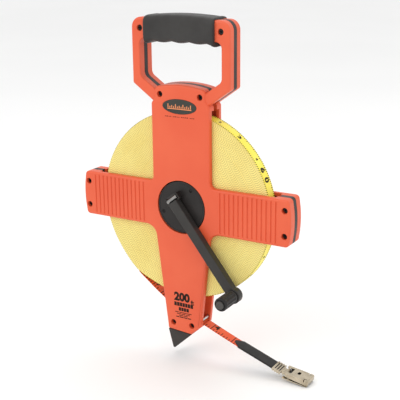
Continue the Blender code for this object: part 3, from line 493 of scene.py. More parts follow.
def ring_cutter(ys, outer, inner, steps, centre=(0.0, 0.0)):
    """A ring between two Y. outer and inner are its radii at each."""
    walls = [[(y, circle(r, steps, centre)) for y, r in zip(ys, radii)] for radii in (outer, inner)]
    return solid(loft(*walls))


def add_box(bm, x, y, z):
    low, high = [min(x), min(y), min(z)], [max(x), max(y), max(z)]
    for vert in bmesh.ops.create_cube(bm, size=1.0)["verts"]:
        vert.co = [low[a] + (vert.co[a] + 0.5) * (high[a] - low[a]) for a in range(3)]


def boxes(spans):
    """Separate boxes of ((x0, x1), (y0, y1), (z0, z1)) as one solid."""
    bm = bmesh.new()
    for span in spans:
        add_box(bm, *span)
    return solid(bm)


def frame_of(along, across, origin=(0.0, 0.0, 0.0)):
    """The placing of a shape modelled along X and across Z, with Y kept."""
    placing = Matrix.Identity(4)
    for row in range(3):
        placing[row][0] = along[row]
        placing[row][2] = across[row]
        placing[row][3] = origin[row]
    return placing


def moved(obj, placing):
    obj.data.transform(placing)
    if placing.determinant() < 0:
        obj.data.flip_normals()
    return obj


def settle(obj):
    """Apply the object's modifiers to its mesh."""
    bpy.context.view_layer.update()
    mesh = bpy.data.meshes.new_from_object(obj.evaluated_get(bpy.context.evaluated_depsgraph_get()))
    obj.modifiers.clear()
    old = obj.data
    obj.data = mesh
    bpy.data.meshes.remove(old)
    return obj


def carve(obj, operation, *others):
    """Join the others to obj, or cut them away, one after another."""
    for other in others:
        modifier = obj.modifiers.new("join", "BOOLEAN")
        modifier.operation = operation
        modifier.object = other
        modifier.solver = "EXACT"
    settle(obj)
    for other in others:
        bpy.data.objects.remove(other)
    return obj


def soften(obj, width, segments=2, angle=38.0):
    """Small rounded edges on everything sharper than the angle."""
    bevel = obj.modifiers.new("edges", "BEVEL")
    bevel.width = width
    bevel.segments = segments
    bevel.limit_method = "ANGLE"
    bevel.angle_limit = radians(angle)
    bevel.use_clamp_overlap = True
    return settle(obj)


def fit(obj, name, look, body, *nodes, slot=None, crease=32.0):
    """Name a finished shape, lower it to its place, set its look and body, and hide what it stands for."""
    obj.name = name
    obj.data.name = name
    obj.data.transform(Matrix.Translation((0.0, 0.0, -GRIP_Z)))
    obj.data.materials.clear()
    obj.data.materials.append(LOOKS[look])
    for polygon in obj.data.polygons:
        polygon.material_index = 0
    obj.data.shade_smooth()
    obj.data.set_sharp_from_angle(angle=radians(crease))
    flat = obj.modifiers.new("flats", "WEIGHTED_NORMAL")
    flat.keep_sharp = True
    flat.weight = 80
    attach(obj, body)
    if nodes:
        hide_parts(*nodes)
    return obj


# Blade: its way from the roll to its free end, and what is printed on it

LAP_POINTS = [(-60.0, 95.8), (-50.0, 96.3), (-42.0, 97.0)]  # degrees from the roll's lowest point, and radius
RUN_POINTS = [(-54.5, -81.2), (-45.7, -88.0), (-33.5, -97.2), (-22.0, -104.8), (-8.0, -112.0), (6.0, -118.0)]
FREE_POINTS = [(21.0, -123.8), (39.5, -131.2), (60.0, -139.0), (80.0, -146.1), (98.7, -152.8)]
WAY_SPACING = 1.6 * MM
OUTLET_X = 21.0 * MM
LEADER_START = -57.0 * MM
PRINT_THICK = 0.06 * MM


def smooth_line(points, spacing):
    """Points along a Catmull-Rom curve through points, about spacing apart."""
    points = [Vector(p) for p in points]
    ends = [2 * points[0] - points[1]] + points + [2 * points[-1] - points[-2]]
    line = []
    for a, b, c, d in zip(ends, ends[1:], ends[2:], ends[3:]):
        steps = max(2, round((c - b).length / spacing))
        for k in range(steps):
            t = k / steps
            bend = (2 * a - 5 * b + 4 * c - d) * t**2 + (3 * b - a - 3 * c + d) * t**3
            line.append(0.5 * (2 * b + (c - a) * t + bend))
    return line + [points[-1]]


class Way:
    """A line in the reel's plane, measured along its length, with its printed side on its left."""

    def __init__(self, points):
        self.points = points
        self.lengths = [0.0]
        for a, b in zip(points, points[1:]):
            self.lengths.append(self.lengths[-1] + (b - a).length)
        self.length = self.lengths[-1]

    def spot(self, along, across, height):
        along = min(max(along, 0.0), self.length)
        k = 0
        while k < len(self.points) - 2 and self.lengths[k + 1] < along:
            k += 1
        share = (along - self.lengths[k]) / (self.lengths[k + 1] - self.lengths[k])
        here = self.points[k].lerp(self.points[k + 1], share)
        before = self.points[max(0, k - 1)]
        after = self.points[min(len(self.points) - 1, k + 2)]
        run = (after - before).normalized()
        spot = here + Vector((-run.y, run.x)) * height
        return Vector((spot.x, across, spot.y))


def blade_points():
    laps = [(r * sin(radians(turn)), -r * cos(radians(turn))) for turn, r in LAP_POINTS]
    return smooth_line([Vector(point) * MM for point in laps + RUN_POINTS + FREE_POINTS], WAY_SPACING)


def strap(way, sections):
    """A closed strap along a way, from (along, half width, half thickness), with rounded edges."""
    bm = bmesh.new()
    loops = []
    for along, half_width, half_thick in sections:
        corner = min(half_thick * 0.9, half_width * 0.5)
        signs = ((-1, -1), (1, -1), (1, 1), (-1, 1))
        outline = rounded([(a * half_width, b * half_thick, corner) for a, b in signs], steps=3)
        loops.append([bm.verts.new(way.spot(along, p.x, p.y)) for p in outline])
    closed(bm, loops)
    return solid(bm)


def add_block(bm, way, along, across, height):
    """A small raised block on a way: each of the three is a (low, high) pair."""
    corners = [way.spot(a, c, h) for h in height for a, c in
               ((along[0], across[0]), (along[1], across[0]), (along[1], across[1]), (along[0], across[1]))]
    verts = [bm.verts.new(p) for p in corners]
    for face in ((0, 1, 2, 3), (7, 6, 5, 4), (0, 4, 5, 1), (1, 5, 6, 2), (2, 6, 7, 3), (3, 7, 4, 0)):
        bm.faces.new([verts[i] for i in face])


def figure_mesh(text, size, weight):
    """Generic figures as a thin closed mesh that stands on XY from its lower left corner."""
    curve = bpy.data.curves.new("figures", "FONT")
    curve.body = text
    curve.size = size
    curve.offset = weight
    curve.extrude = 0.5
    curve.resolution_u = 4
    obj = add_object("figures", curve)
    bpy.context.view_layer.update()
    mesh = bpy.data.meshes.new_from_object(obj.evaluated_get(bpy.context.evaluated_depsgraph_get()))
    bpy.data.objects.remove(obj)
    bpy.data.curves.remove(curve)
    return mesh


def add_figures(bm, text, size, weight, place):
    """Figures put through place(x, y, share of thickness from 0 to 1)."""
    mesh = figure_mesh(text, size, weight)
    extra = bmesh.new()
    extra.from_mesh(mesh)
    bmesh.ops.remove_doubles(extra, verts=extra.verts, dist=1e-6)
    left = min(v.co.x for v in extra.verts)
    made = {}
    for vert in extra.verts:
        made[vert.index] = bm.verts.new(place(vert.co.x - left, vert.co.y, vert.co.z + 0.5))
    for face in extra.faces:
        try:
            bm.faces.new([made[v.index] for v in face.verts])
        except ValueError:
            continue
    extra.free()
    bpy.data.meshes.remove(mesh)


# Frame

OUTSIDE = 14.0 * MM  # past the frame's outer faces
PAST_SEAM = 2.0 * MM  # past the plane between the halves
RING_HALF = 11.3 * MM
BAY_HALF = 7.2 * MM
SEAM_HALF = 3.1 * MM
BAY_R = 103.5 * MM
ARM_R = 118.5 * MM
HEAD_R = 121.5 * MM
ARM_HALF = 23.2 * MM
LEG_HALF = 32.5 * MM
HEAD_HALF = 28.0 * MM
SHOULDER_Z = 104.0 * MM
EDGE_R = 2.2 * MM
WALL = 2.6 * MM
RING_HALF_WIDTH = 54.0 * MM
RING_TOP = 183.5 * MM
RING_WALL = 9.0 * MM
BAR_BOTTOM = 163.5 * MM
DISC_R = 26.3 * MM
SCREW_R = 1.5 * MM
SCREW_HEAD_R = 2.7 * MM
SCREW_SINK = 3.4 * MM
SCREW_HEAD_H = 1.8 * MM
SCREW_TIP = 8.0 * MM
SCREW_PLACES = {
    name: (x * MM, z * MM)
    for name, x, z in (
        ("ring_left", -44.4, 173.2),
        ("ring_right", 44.4, 173.2),
        ("head_left", -22.3, 111.2),
        ("head_right", 22.3, 111.2),
        ("left_arm_upper", -112.2, 12.8),
        ("left_arm_lower", -112.2, -12.4),
        ("right_arm_upper", 112.2, 12.8),
        ("right_arm_lower", 112.2, -12.4),
        ("foot_left", -11.4, -125.3),
        ("foot_right", 10.3, -125.3),
    )
}
RIB_PITCH = 4.95 * MM
RIB_FIRST = 44.0 * MM
RIB_GROOVES = 13
GROOVE_HALF = 0.8 * MM
GROOVE_DEPTH = 1.0 * MM
GROOVE_ARC = [  # across and down, in half widths and depths
    (-1.25, 0.0), (-1.0, 0.18), (-0.72, 0.72), (-0.35, 1.0),
    (0.35, 1.0), (0.72, 0.72), (1.0, 0.18), (1.25, 0.0),
]
BADGE_PLACE = (0.0, 100.6 * MM)
BADGE_HALF_X = 18.8 * MM
BADGE_HALF_Z = 7.1 * MM
GUIDE_PLACE = (18.2 * MM, -119.8 * MM)
GUIDE_HOLE_R = 1.8 * MM


def arc_about_axis(radius, first, last, steps):
    turns = [first + (last - first) * k / steps for k in range(1, steps)]
    return [(radius * cos(turn), radius * sin(turn), 0.0) for turn in turns]


def mirrored(corners):
    """The corners, and then their mirror images in reverse."""
    return corners + [(-x, z, r) for x, z, r in reversed(corners)]


def cross_outline():
    """Head, upper leg, arms and lower leg as one outline, anticlockwise from the foot."""
    foot = mm((-17.8, -133.3, 0.0), (9.6, -135.2, 0.0), (20.4, -125.4, 1.2))
    arm_end = sqrt(ARM_R**2 - ARM_HALF**2)
    head_end = sqrt(HEAD_R**2 - HEAD_HALF**2)
    arm_angle = atan2(ARM_HALF, arm_end)
    head_angle = atan2(head_end, HEAD_HALF)
    corner = 4.0 * MM
    armpit = 12.0 * MM
    right = [
        (32.0 * MM, -ARM_HALF, armpit),
        (arm_end, -ARM_HALF, corner),
        *arc_about_axis(ARM_R, -arm_angle * 0.6, arm_angle * 0.6, 10),
        (arm_end, ARM_HALF, corner),
        (LEG_HALF, ARM_HALF, 5.0 * MM),
        (LEG_HALF, SHOULDER_Z - 2.0 * MM, corner),
        (HEAD_HALF, SHOULDER_Z + 4.5 * MM, corner),
        (HEAD_HALF, head_end, corner),
    ]
    top = arc_about_axis(HEAD_R, head_angle + 0.05, pi - head_angle - 0.05, 20)
    left = [(-x, z, r) for x, z, r in reversed(right)]
    left[-1] = (-31.3 * MM, -ARM_HALF, armpit)
    return rounded(foot + right + top + left)


def ring_outline():
    corners = mm((24.0, 98.6, 0.0))
    corners += [(RING_HALF_WIDTH, 119.8 * MM, 3.0 * MM), (RING_HALF_WIDTH, RING_TOP, 10.0 * MM)]
    return rounded(mirrored(corners), steps=12)


def ring_opening():
    inner = RING_HALF_WIDTH - RING_WALL
    corners = mm((24.0, 112.6, 0.0))
    corners += [(inner, 127.0 * MM, 7.0 * MM), (inner, BAR_BOTTOM, 6.0 * MM)]
    return rounded(mirrored(corners), steps=12)


def channel_outline():
    """The space between the halves that the blade runs through on its way to the outlet."""
    corners = mm((-60.0, -60.0), (-60.0, -88.0), (-34.0, -98.8), (-22.4, -106.6), (-8.4, -113.6),
                 (5.6, -119.6), (20.0, -124.9), (32.0, -129.6), (45.0, -60.0))
    return [Vector(corner) for corner in corners]


def add_groove(bm, x, side):
    """A cutter for one groove: a shallow arc in section, with its ends run out."""
    face = side * FRAME_HALF
    outer = side * (FRAME_HALF + 0.4 * MM)
    half = ARM_HALF - 2.4 * MM
    run_out = 0.9 * MM
    loops = []
    for z, depth in ((-half, 0.05), (-half + run_out, 1.0), (half - run_out, 1.0), (half, 0.05)):
        loop = [(x + a * GROOVE_HALF, face - side * d * depth * GROOVE_DEPTH, z) for a, d in GROOVE_ARC]
        loop += [(x + a * GROOVE_HALF, outer, z) for a in (GROOVE_ARC[-1][0], GROOVE_ARC[0][0])]
        loops.append([bm.verts.new(p) for p in loop])
    closed(bm, loops)


def all_grooves(side):
    bm = bmesh.new()
    for k in range(RIB_GROOVES):
        for sign in (-1, 1):
            add_groove(bm, sign * (RIB_FIRST + k * RIB_PITCH), side)
    return solid(bm)


def pockets(side):
    """Pockets inside the legs and the arms, behind the walls of the space for the roll."""
    deep = (side * (BAY_HALF - 1.0 * MM), side * (FRAME_HALF - WALL))
    inset = WALL + 0.6 * MM
    leg = (-LEG_HALF + inset, LEG_HALF - inset)
    arm = (-ARM_HALF + inset, ARM_HALF - inset)
    upper, lower, foot = mm((34.0, 96.0), (-92.0, -34.0), (-22.0, 22.0))
    right, left = mm((38.0, 99.0), (-99.0, -38.0))
    return boxes([(leg, deep, upper), (foot, deep, lower), (right, deep, arm), (left, deep, arm)])


def front_cuts():
    """The disc's recess, the badge's seat and the screw wells."""
    recess = DISC_R + 0.9 * MM
    cuts = [turned([(-OUTSIDE, DISC_R + 1.6 * MM), (-12.4 * MM, recess), (-5 * MM, recess)], steps=128)]
    seat = ellipse(BADGE_HALF_X + GAP, BADGE_HALF_Z + GAP, BADGE_PLACE, 96)
    cuts.append(plate(seat, -OUTSIDE, -11.9 * MM))
    seat_y = -FRAME_HALF + SCREW_SINK + SCREW_HEAD_H + GAP
    shank, seat_r = SCREW_R + RUN, SCREW_HEAD_R + GAP
    mouth_r = seat_r + 0.6 * MM
    for place, centre in SCREW_PLACES.items():
        face = RING_HALF if place.startswith("ring") else FRAME_HALF
        rim = [(-face + 0.45 * MM, seat_r), (-face - 0.2 * MM, mouth_r), (-OUTSIDE, mouth_r)]
        cuts.append(turned([(1.0 * MM, shank), (seat_y, shank), (seat_y, seat_r)] + rim, centre, 32))
    return cuts


def rear_cuts():
    """The bush's hole and the holes that the screws' tips go into."""
    cuts = [turned(mm((5.0, 12.5), (12.3, 12.5), (14.0, 13.4)), steps=96)]
    for centre in SCREW_PLACES.values():
        cuts.append(turned([(-1.0 * MM, SCREW_R + GAP), (SCREW_TIP + GAP, SCREW_R + GAP)], centre, 24))
    return cuts


def frame_half(side):
    body = rounded_plate(cross_outline(), side * GAP / 2, side * FRAME_HALF, EDGE_R)
    ring = rounded_plate(ring_outline(), side * GAP / 2, side * RING_HALF, EDGE_R, opening=ring_opening())
    carve(body, "UNION", ring)
    past = -side * PAST_SEAM
    seam_x, seam_z, tang_x, tang_z = mm((-140.0, 140.0), (-60.0, 200.0), (-15.9, 4.4), (-140.0, -119.5))
    cuts = [
        boxes([(seam_x, (past, side * SEAM_HALF), seam_z)]),
        turned([(past, BAY_R), (side * BAY_HALF, BAY_R)], steps=144),
        plate(channel_outline(), past, side * BAY_HALF),
        pockets(side),
        boxes([(tang_x, (past, side * 2.3 * MM), tang_z)]),
        all_grooves(side),
        *(front_cuts() if side < 0 else rear_cuts()),
    ]
    ends = [(side * (BAY_HALF - 1.0 * MM), GUIDE_HOLE_R), (side * 9.6 * MM, GUIDE_HOLE_R)]
    cuts.append(turned(ends, GUIDE_PLACE, 24))
    return carve(body, "DIFFERENCE", *cuts)


def frame_halves():
    fit(frame_half(-1), "front_shell", "orange", "frame", "front_frame_half")
    fit(frame_half(1), "rear_shell", "orange", "frame", "rear_frame_half")


# Hand grip

GRIP_HALF_LENGTH = 38.5 * MM
GRIP_HALF_DEPTH = 15.2 * MM
GRIP_TOP = 187.4 * MM
GRIP_BOTTOM = 158.6 * MM
FINGERS = 4
GRIP_END_R = 1.6 * MM
GRIP_BEAD = 0.35 * MM
GRIP_BEAD_WIDTH = 3.6 * MM
GRIP_SQUARENESS = 0.42
GRIP_AROUND = 72
GRIP_ALONG = 120


def grip_section(share):
    """Lowest and highest Z, and half depth, at a share from -1 to 1 of the grip's half length."""
    top = GRIP_TOP - 2.2 * MM * share**2
    ridge = abs(cos(pi * FINGERS * (share + 1) / 2))
    bottom = GRIP_BOTTOM + 1.6 * MM * (1 - share**4) + 2.6 * MM * (1 - ridge**1.3) * 0.5
    return bottom, top, GRIP_HALF_DEPTH - 0.5 * MM * (1 - share**4)


def squared(value):
    """A cosine or sine, bent so that a circle turns into a rounded square."""
    return (1 if value > 0 else -1) * abs(value) ** GRIP_SQUARENESS


def hand_grip():
    bm = bmesh.new()
    loops = []
    for share in (-1 + 2 * k / GRIP_ALONG for k in range(GRIP_ALONG + 1)):
        x = share * GRIP_HALF_LENGTH
        inward = max(0.0, abs(x) - (GRIP_HALF_LENGTH - GRIP_END_R))
        shrink = GRIP_END_R - sqrt(max(0.0, GRIP_END_R**2 - inward**2))
        bead = GRIP_BEAD if GRIP_HALF_LENGTH - GRIP_BEAD_WIDTH < abs(x) else 0.0
        low, high, half = grip_section(share)
        centre, half_z = 0.5 * (low + high), 0.5 * (high - low) - shrink + bead
        half_y = half - shrink + min(bead, 0.2 * MM)
        turns = [2 * pi * k / GRIP_AROUND for k in range(GRIP_AROUND)]
        section = [(x, half_y * squared(cos(a)), centre + half_z * squared(sin(a))) for a in turns]
        loops.append([bm.verts.new(p) for p in section])
    closed(bm, loops)
    grip = solid(bm)
    reach = RING_HALF + GAP
    carve(grip, "DIFFERENCE", boxes([((-0.06, 0.06), (-reach, reach), (BAR_BOTTOM - GAP, RING_TOP + GAP))]))
    fit(grip, "soft_grip", "grip", "frame", "hand_grip", crease=50.0)


# Badge and print on the front

BADGE_FRONT = -13.0 * MM
SCALE_MARKS = 13
FACE_PRINT = (-FRAME_HALF + 0.02 * MM, -FRAME_HALF - 0.04 * MM)
WORD_BARS = [  # middle height, height, and the ends of each bar
    (-103.8, 4.2, [(-10.6, -7.9), (-7.5, -4.6), (-4.2, -1.6), (-1.2, 1.4), (1.8, 4.3), (4.7, 7.3),
                   (7.7, 10.6)]),
    (-109.0, 3.8, [(-5.6, -3.0), (-2.6, -0.2), (0.2, 2.7), (3.1, 5.8)]),
    (-112.6, 0.8, [(-9.8, -5.6), (-5.1, -2.2), (-1.7, 3.2), (3.7, 8.9)]),
    (-114.3, 0.8, [(-7.9, -3.1), (-2.6, 1.7), (2.2, 6.9)]),
    (-116.0, 0.8, [(-5.4, -0.9), (-0.4, 4.6)]),
    (-117.8, 1.1, [(-8.6, -5.2), (-4.7, -0.4), (0.1, 3.9), (4.4, 8.2)]),
]
WORD_STRETCH = 1.05
WORD_SHIFT = 1.3
DASH_Z = 90.0


def badge():
    outline = ellipse(BADGE_HALF_X, BADGE_HALF_Z, BADGE_PLACE, 96)
    plaque = rounded_plate(outline, -12.2 * MM, BADGE_FRONT, 0.35 * MM)
    inner = ellipse(BADGE_HALF_X - 1.1 * MM, BADGE_HALF_Z - 1.0 * MM, BADGE_PLACE, 96)
    carve(plaque, "DIFFERENCE", plate(inner, BADGE_FRONT - 1 * MM, BADGE_FRONT + 0.22 * MM))
    fit(plaque, "badge_plaque", "badge", "frame", "badge_plate")
    bm = bmesh.new()
    depth = (BADGE_FRONT + 0.02 * MM, BADGE_FRONT + 0.30 * MM)
    middle = BADGE_PLACE[1]
    foot = middle - 1.5 * MM
    for k in range(SCALE_MARKS):
        x = -12.6 * MM + 25.2 * MM * k / (SCALE_MARKS - 1)
        tall = 2.5 * MM if k % 4 == 0 else (1.7 * MM if k % 2 == 0 else 1.15 * MM)
        add_box(bm, (x - 0.42 * MM, x + 0.42 * MM), depth, (foot, foot + tall * 1.5))
    add_box(bm, (-13.4 * MM, 13.4 * MM), depth, (middle - 2.7 * MM, middle - 1.95 * MM))
    fit(solid(bm), "badge_scale", "badge_mark", "frame", slot="badge_plate")


def on_front(x0, z0):
    """Puts flat figures on the frame's front face."""
    return lambda x, y, t: Vector((x0 + x, FACE_PRINT[0] - t * PRINT_THICK, z0 + y))


def foot_print():
    bm = bmesh.new()
    add_figures(bm, "200", 12.0 * MM, 0.66 * MM, on_front(-9.9 * MM, -99.6 * MM))
    add_figures(bm, "ft", 6.6 * MM, 0.20 * MM, on_front(9.6 * MM, -101.6 * MM))
    for z, tall, spans in WORD_BARS:
        for span in spans:
            ends = [(x * WORD_STRETCH + WORD_SHIFT) * MM for x in span]
            add_box(bm, ends, FACE_PRINT, ((z - tall / 2) * MM, (z + tall / 2) * MM))
    fit(solid(bm), "foot_print", "print_dark", "frame", slot="front_frame_half", crease=20.0)
    bm = bmesh.new()
    draw = random.Random(4)
    x = -16.3
    while x < 15.6:
        wide = draw.choice((1.0, 1.3, 1.6))
        tall = draw.choice((0.75, 0.95))
        add_box(bm, (x * MM, (x + wide) * MM), FACE_PRINT, (DASH_Z * MM, (DASH_Z + tall) * MM))
        x += wide + draw.choice((0.7, 0.9, 1.9))
    fit(solid(bm), "head_dashes", "print_red", "frame", slot="front_frame_half")


# The wound blade

TURN_STEPS = 144
OUTER_STEPS = 240
BULGE = 1.95 * MM
BULGE_TURN = radians(-36.0)
BULGE_INNER = 82.0 * MM
LAP_FIGURES = "1234567891234567891234"


def bulge(angle, radius):
    """How far the outer laps stand off where the blade leaves the roll. Angle is from +X, towards +Z."""
    turn = (angle + pi / 2 + pi) % (2 * pi) - pi
    spread = radians(12.0) if turn < BULGE_TURN else radians(8.0)
    share = min(1.0, max(0.0, (radius - BULGE_INNER) / (ROLL_R - BULGE_INNER)))
    return BULGE * exp(-(((turn - BULGE_TURN) / spread) ** 2)) * share**2


def turned_loop(profile, steps):
    """A ring about the spool's axis from a closed profile of (y, radius), with the outer laps' bulge."""
    bm = bmesh.new()
    loops = []
    for k in range(steps):
        angle = 2 * pi * k / steps
        loop = []
        for y, radius in profile:
            r = radius + bulge(angle, radius)
            loop.append(bm.verts.new((r * cos(angle), y, r * sin(angle))))
        loops.append(loop)
    bridge(bm, loops + loops[:1])
    return solid(bm)


def wound_blade():
    draw = random.Random(11)
    front, rear = [], []
    wander = 0.0
    for k in range(LAPS):
        wander = max(-0.16, min(0.16, wander + draw.uniform(-0.05, 0.05)))
        half = BLADE_WIDTH / 2 + (0.22 + wander + draw.uniform(-0.05, 0.05)) * MM
        radius = ROLL_INNER + k * LAP_PITCH
        for side, edge in ((-1, front), (1, rear)):
            edge.append((side * (half - 0.13 * MM), radius + 0.05 * LAP_PITCH))
            edge.append((side * half, radius + 0.5 * LAP_PITCH))
    outer = ROLL_INNER + LAPS * LAP_PITCH
    rim = BLADE_WIDTH / 2 - 0.3 * MM
    roll = turned_loop(front + [(-rim, outer), (rim, outer)] + rear[::-1], TURN_STEPS)
    fit(roll, "wound_laps", "roll_face", "spool", "blade_roll", crease=80.0)
    roll.modifiers.clear()
    half = BLADE_WIDTH / 2
    corner = 0.08 * MM
    edge = [(half - corner, ROLL_R), (half, ROLL_R - corner), (half, outer + 0.03 * MM)]
    lap = turned_loop([(-y, r) for y, r in reversed(edge)] + edge, OUTER_STEPS)
    fit(lap, "outer_lap", "lap_yellow", "spool", slot="blade_roll")


def lap_way():
    """Clockwise round the outer lap, once, starting at the top of the roll."""
    points = []
    for k in range(721):
        angle = pi / 2 - 2 * pi * k / 720
        radius = ROLL_R + bulge(angle, ROLL_R)
        points.append(Vector((radius * cos(angle), radius * sin(angle))))
    return Way(points)


def put_on(way, along, across, height=0.0):
    """Puts flat figures on a way, reading along it."""
    return lambda x, y, t: way.spot(along + x, across + y, height + (t - 0.35) * PRINT_THICK * 1.6)


def lap_print():
    way = lap_way()
    bm = bmesh.new()
    half = BLADE_WIDTH / 2
    surface = 0.05 * MM
    for k in range(int(way.length / MARK_PITCH)):
        along = k * MARK_PITCH
        reach = 2.9 * MM if k % 5 == 0 else 2.0 * MM
        for long, across, depth in (
            (0.75 * MM, (half - reach, half - 0.05 * MM), -0.02 * MM),
            (0.7 * MM, (-half - 0.06 * MM, -half + 0.9 * MM), -0.55 * MM),
        ):
            add_block(bm, way, (along, along + long), across, (depth, surface))
    for k, text in enumerate(LAP_FIGURES):
        along = 12.3 * MM + k * INCH
        if along < way.length - 8 * MM and not 96 * MM < along < 118 * MM:
            add_figures(bm, text, 5.4 * MM, 0.18 * MM, put_on(way, along, -2.4 * MM))
    for text, turn in (("6", 28.5), ("0", 22.5)):
        middle = radians(90.0 - turn) * ROLL_R
        add_figures(bm, text, 10.0 * MM, 0.5 * MM, put_on(way, middle - 2.9 * MM, -3.6 * MM))
    add_figures(bm, "2", 6.4 * MM, 0.28 * MM, put_on(way, radians(90.0 - 53.0) * ROLL_R, -2.4 * MM))
    fit(solid(bm), "lap_print", "print_dark", "spool", slot="blade_roll", crease=20.0)


# The blade outside the roll

RIBBON_SPACING = 1.5 * MM
SLEEVE_START = 53.6 * MM
SLEEVE_TAPER = 7.5 * MM
SLEEVE_STEPS = 56
SCALE_ZERO = 27.0 * MM  # past the free end's far end
FERRULE_LENGTH = 13.0 * MM
FERRULE_HALF_WIDTH = 7.4 * MM
HOOK_TILT = radians(8.0)
HOOK_PIVOT = (112.3 * MM, -157.3 * MM)
HOOK_LENGTH = 25.6 * MM
HOOK_HALF_WIDTH = 8.0 * MM
HOOK_SHEET = 0.9 * MM
HOOK_TOP = 3.4 * MM
HOOK_BOTTOM = -3.6 * MM
HOOK_BORE = mm((-9.0, 1.3), (9.0, 1.3))


def split_ways():
    points = blade_points()
    outlet = sum(1 for p in points if p.x < OUTLET_X - 0.1 * MM)
    free = points[outlet:]
    free[0] = free[0] + (free[1] - free[0]).normalized() * GAP
    return Way(points[:outlet]), Way(free)


def ribbon(way, name, look, body, *nodes):
    steps = max(8, round(way.length / RIBBON_SPACING))
    sections = [(way.length * k / steps, BLADE_WIDTH / 2, BLADE_HALF_THICK) for k in range(steps + 1)]
    return fit(strap(way, sections), name, look, body, *nodes)


def mark_reach(k):
    """How far the mark of an eighth of an inch runs across the blade. Inch marks run right across."""
    if k % 8 == 0:
        return BLADE_WIDTH - 0.5 * MM
    return (5.4 if k % 4 == 0 else 4.0 if k % 2 == 0 else 3.0) * MM


def ribbon_print(way, name, slot, zero, first, last):
    """Eighth-inch marks and inch figures, counted back from zero, a length along the way."""
    bm = bmesh.new()
    half = BLADE_WIDTH / 2
    near, dots = -half + 0.1 * MM, (half - 0.9 * MM, half - 0.1 * MM)
    for raised in mm((0.24, 0.30), (-0.30, -0.24)):
        k = 0
        while zero - k * INCH / 8 > first:
            along = zero - k * INCH / 8
            if along < last:
                wide = 0.85 * MM if k % 8 == 0 else 0.75 * MM
                add_block(bm, way, (along - wide / 2, along + wide / 2), (near, near + mark_reach(k)), raised)
                if k % 8:
                    add_block(bm, way, (along - 0.15 * MM, along + 0.15 * MM), dots, raised)
            k += 1
    k = 1
    while zero - k * INCH > first:
        along = zero - k * INCH
        if along < last - 6 * MM:
            add_figures(bm, str(k), 9.6 * MM, 0.42 * MM, put_on(way, along + 1.2 * MM, -0.9 * MM, 0.24 * MM))
        k += 1
    fit(solid(bm), name, "print_dark", "frame", slot=slot, crease=20.0)


def sleeve(way):
    """The vinyl sleeve: it starts as a tapered tongue, and its sides are rolled over the blade's edges."""
    start = next(k for k, p in enumerate(way.points) if p.x > SLEEVE_START)
    first = way.lengths[start]
    end = way.length + 0.1 * MM
    sections = []
    for k in range(SLEEVE_STEPS + 1):
        along = first + (end - first) * k / SLEEVE_STEPS
        share = min(1.0, (along - first) / SLEEVE_TAPER)
        sections.append((along, (1.6 + 5.5 * share**0.8) * MM, (0.62 + 0.42 * min(1.0, share * 1.6)) * MM))
    tube = strap(way, sections)
    room = BLADE_HALF_THICK + 0.12 * MM
    inside = [(way.length * k / 40, BLADE_WIDTH / 2 + GAP, room) for k in range(41)]
    carve(tube, "DIFFERENCE", strap(way, inside))
    return fit(tube, "vinyl_sleeve", "vinyl", "frame", "end_sleeve", crease=50.0)


def ferrule():
    """The crimped ferrule, with ridges between its slots, and the knuckle that the hook hangs on."""
    line = blade_points()
    coarse = (line[-1] - line[-4]).normalized()
    placing = frame_of((coarse.x, 0.0, coarse.y), (-coarse.y, 0.0, coarse.x), (line[-1].x, 0.0, line[-1].y))
    half = FERRULE_HALF_WIDTH
    body = moved(boxes([((GAP, FERRULE_LENGTH), (-half, half), (-1.15 * MM, 1.15 * MM))]), placing)
    ridges = []
    for x in (0.7, 3.4, 5.9, 8.4):
        turns = [pi * k / 6 for k in range(7)]
        arc = [Vector(((x + 0.75 + 0.85 * cos(a)) * MM, (1.0 + 0.65 * sin(a)) * MM)) for a in turns]
        arc += [Vector((p.x, -p.y)) for p in reversed(arc)]
        ends = (-half - 0.35 * MM, half + 0.35 * MM)
        ridges.append(moved(plate(arc, *ends), placing))
    carve(body, "UNION", *ridges)
    cavity = moved(boxes([mm((0.0, 9.3), (-6.2, 6.2), (-0.75, 0.75))]), placing)
    through, notch_x, *notch_ys = mm((-3.0, 3.0), (9.8, 20.0), (-9.0, -4.4), (4.4, 9.0))
    across = (-half + 1.5 * MM, half - 1.5 * MM)
    slots = [((x * MM, (x + 1.15) * MM), across, through) for x in (2.35, 4.85, 7.35)]
    notches = [(notch_x, y, through) for y in notch_ys]
    carve(body, "DIFFERENCE", cavity, moved(boxes(slots), placing), moved(boxes(notches), placing))
    core = moved(boxes([mm((0.6, 9.1), (-6.0, 6.0), (-0.6, 0.6))]), placing)
    fit(core, "clamped_end", "vinyl_and_painted_shade", "frame", slot="end_sleeve")
    carve(body, "UNION", turned(mm((-4.3, 2.1), (4.3, 2.1)), HOOK_PIVOT, 40))
    carve(body, "DIFFERENCE", turned(HOOK_BORE, HOOK_PIVOT, 32))
    soften(body, 0.16 * MM)
    return fit(body, "crimped_ferrule", "nickel", "frame", "end_ferrule")


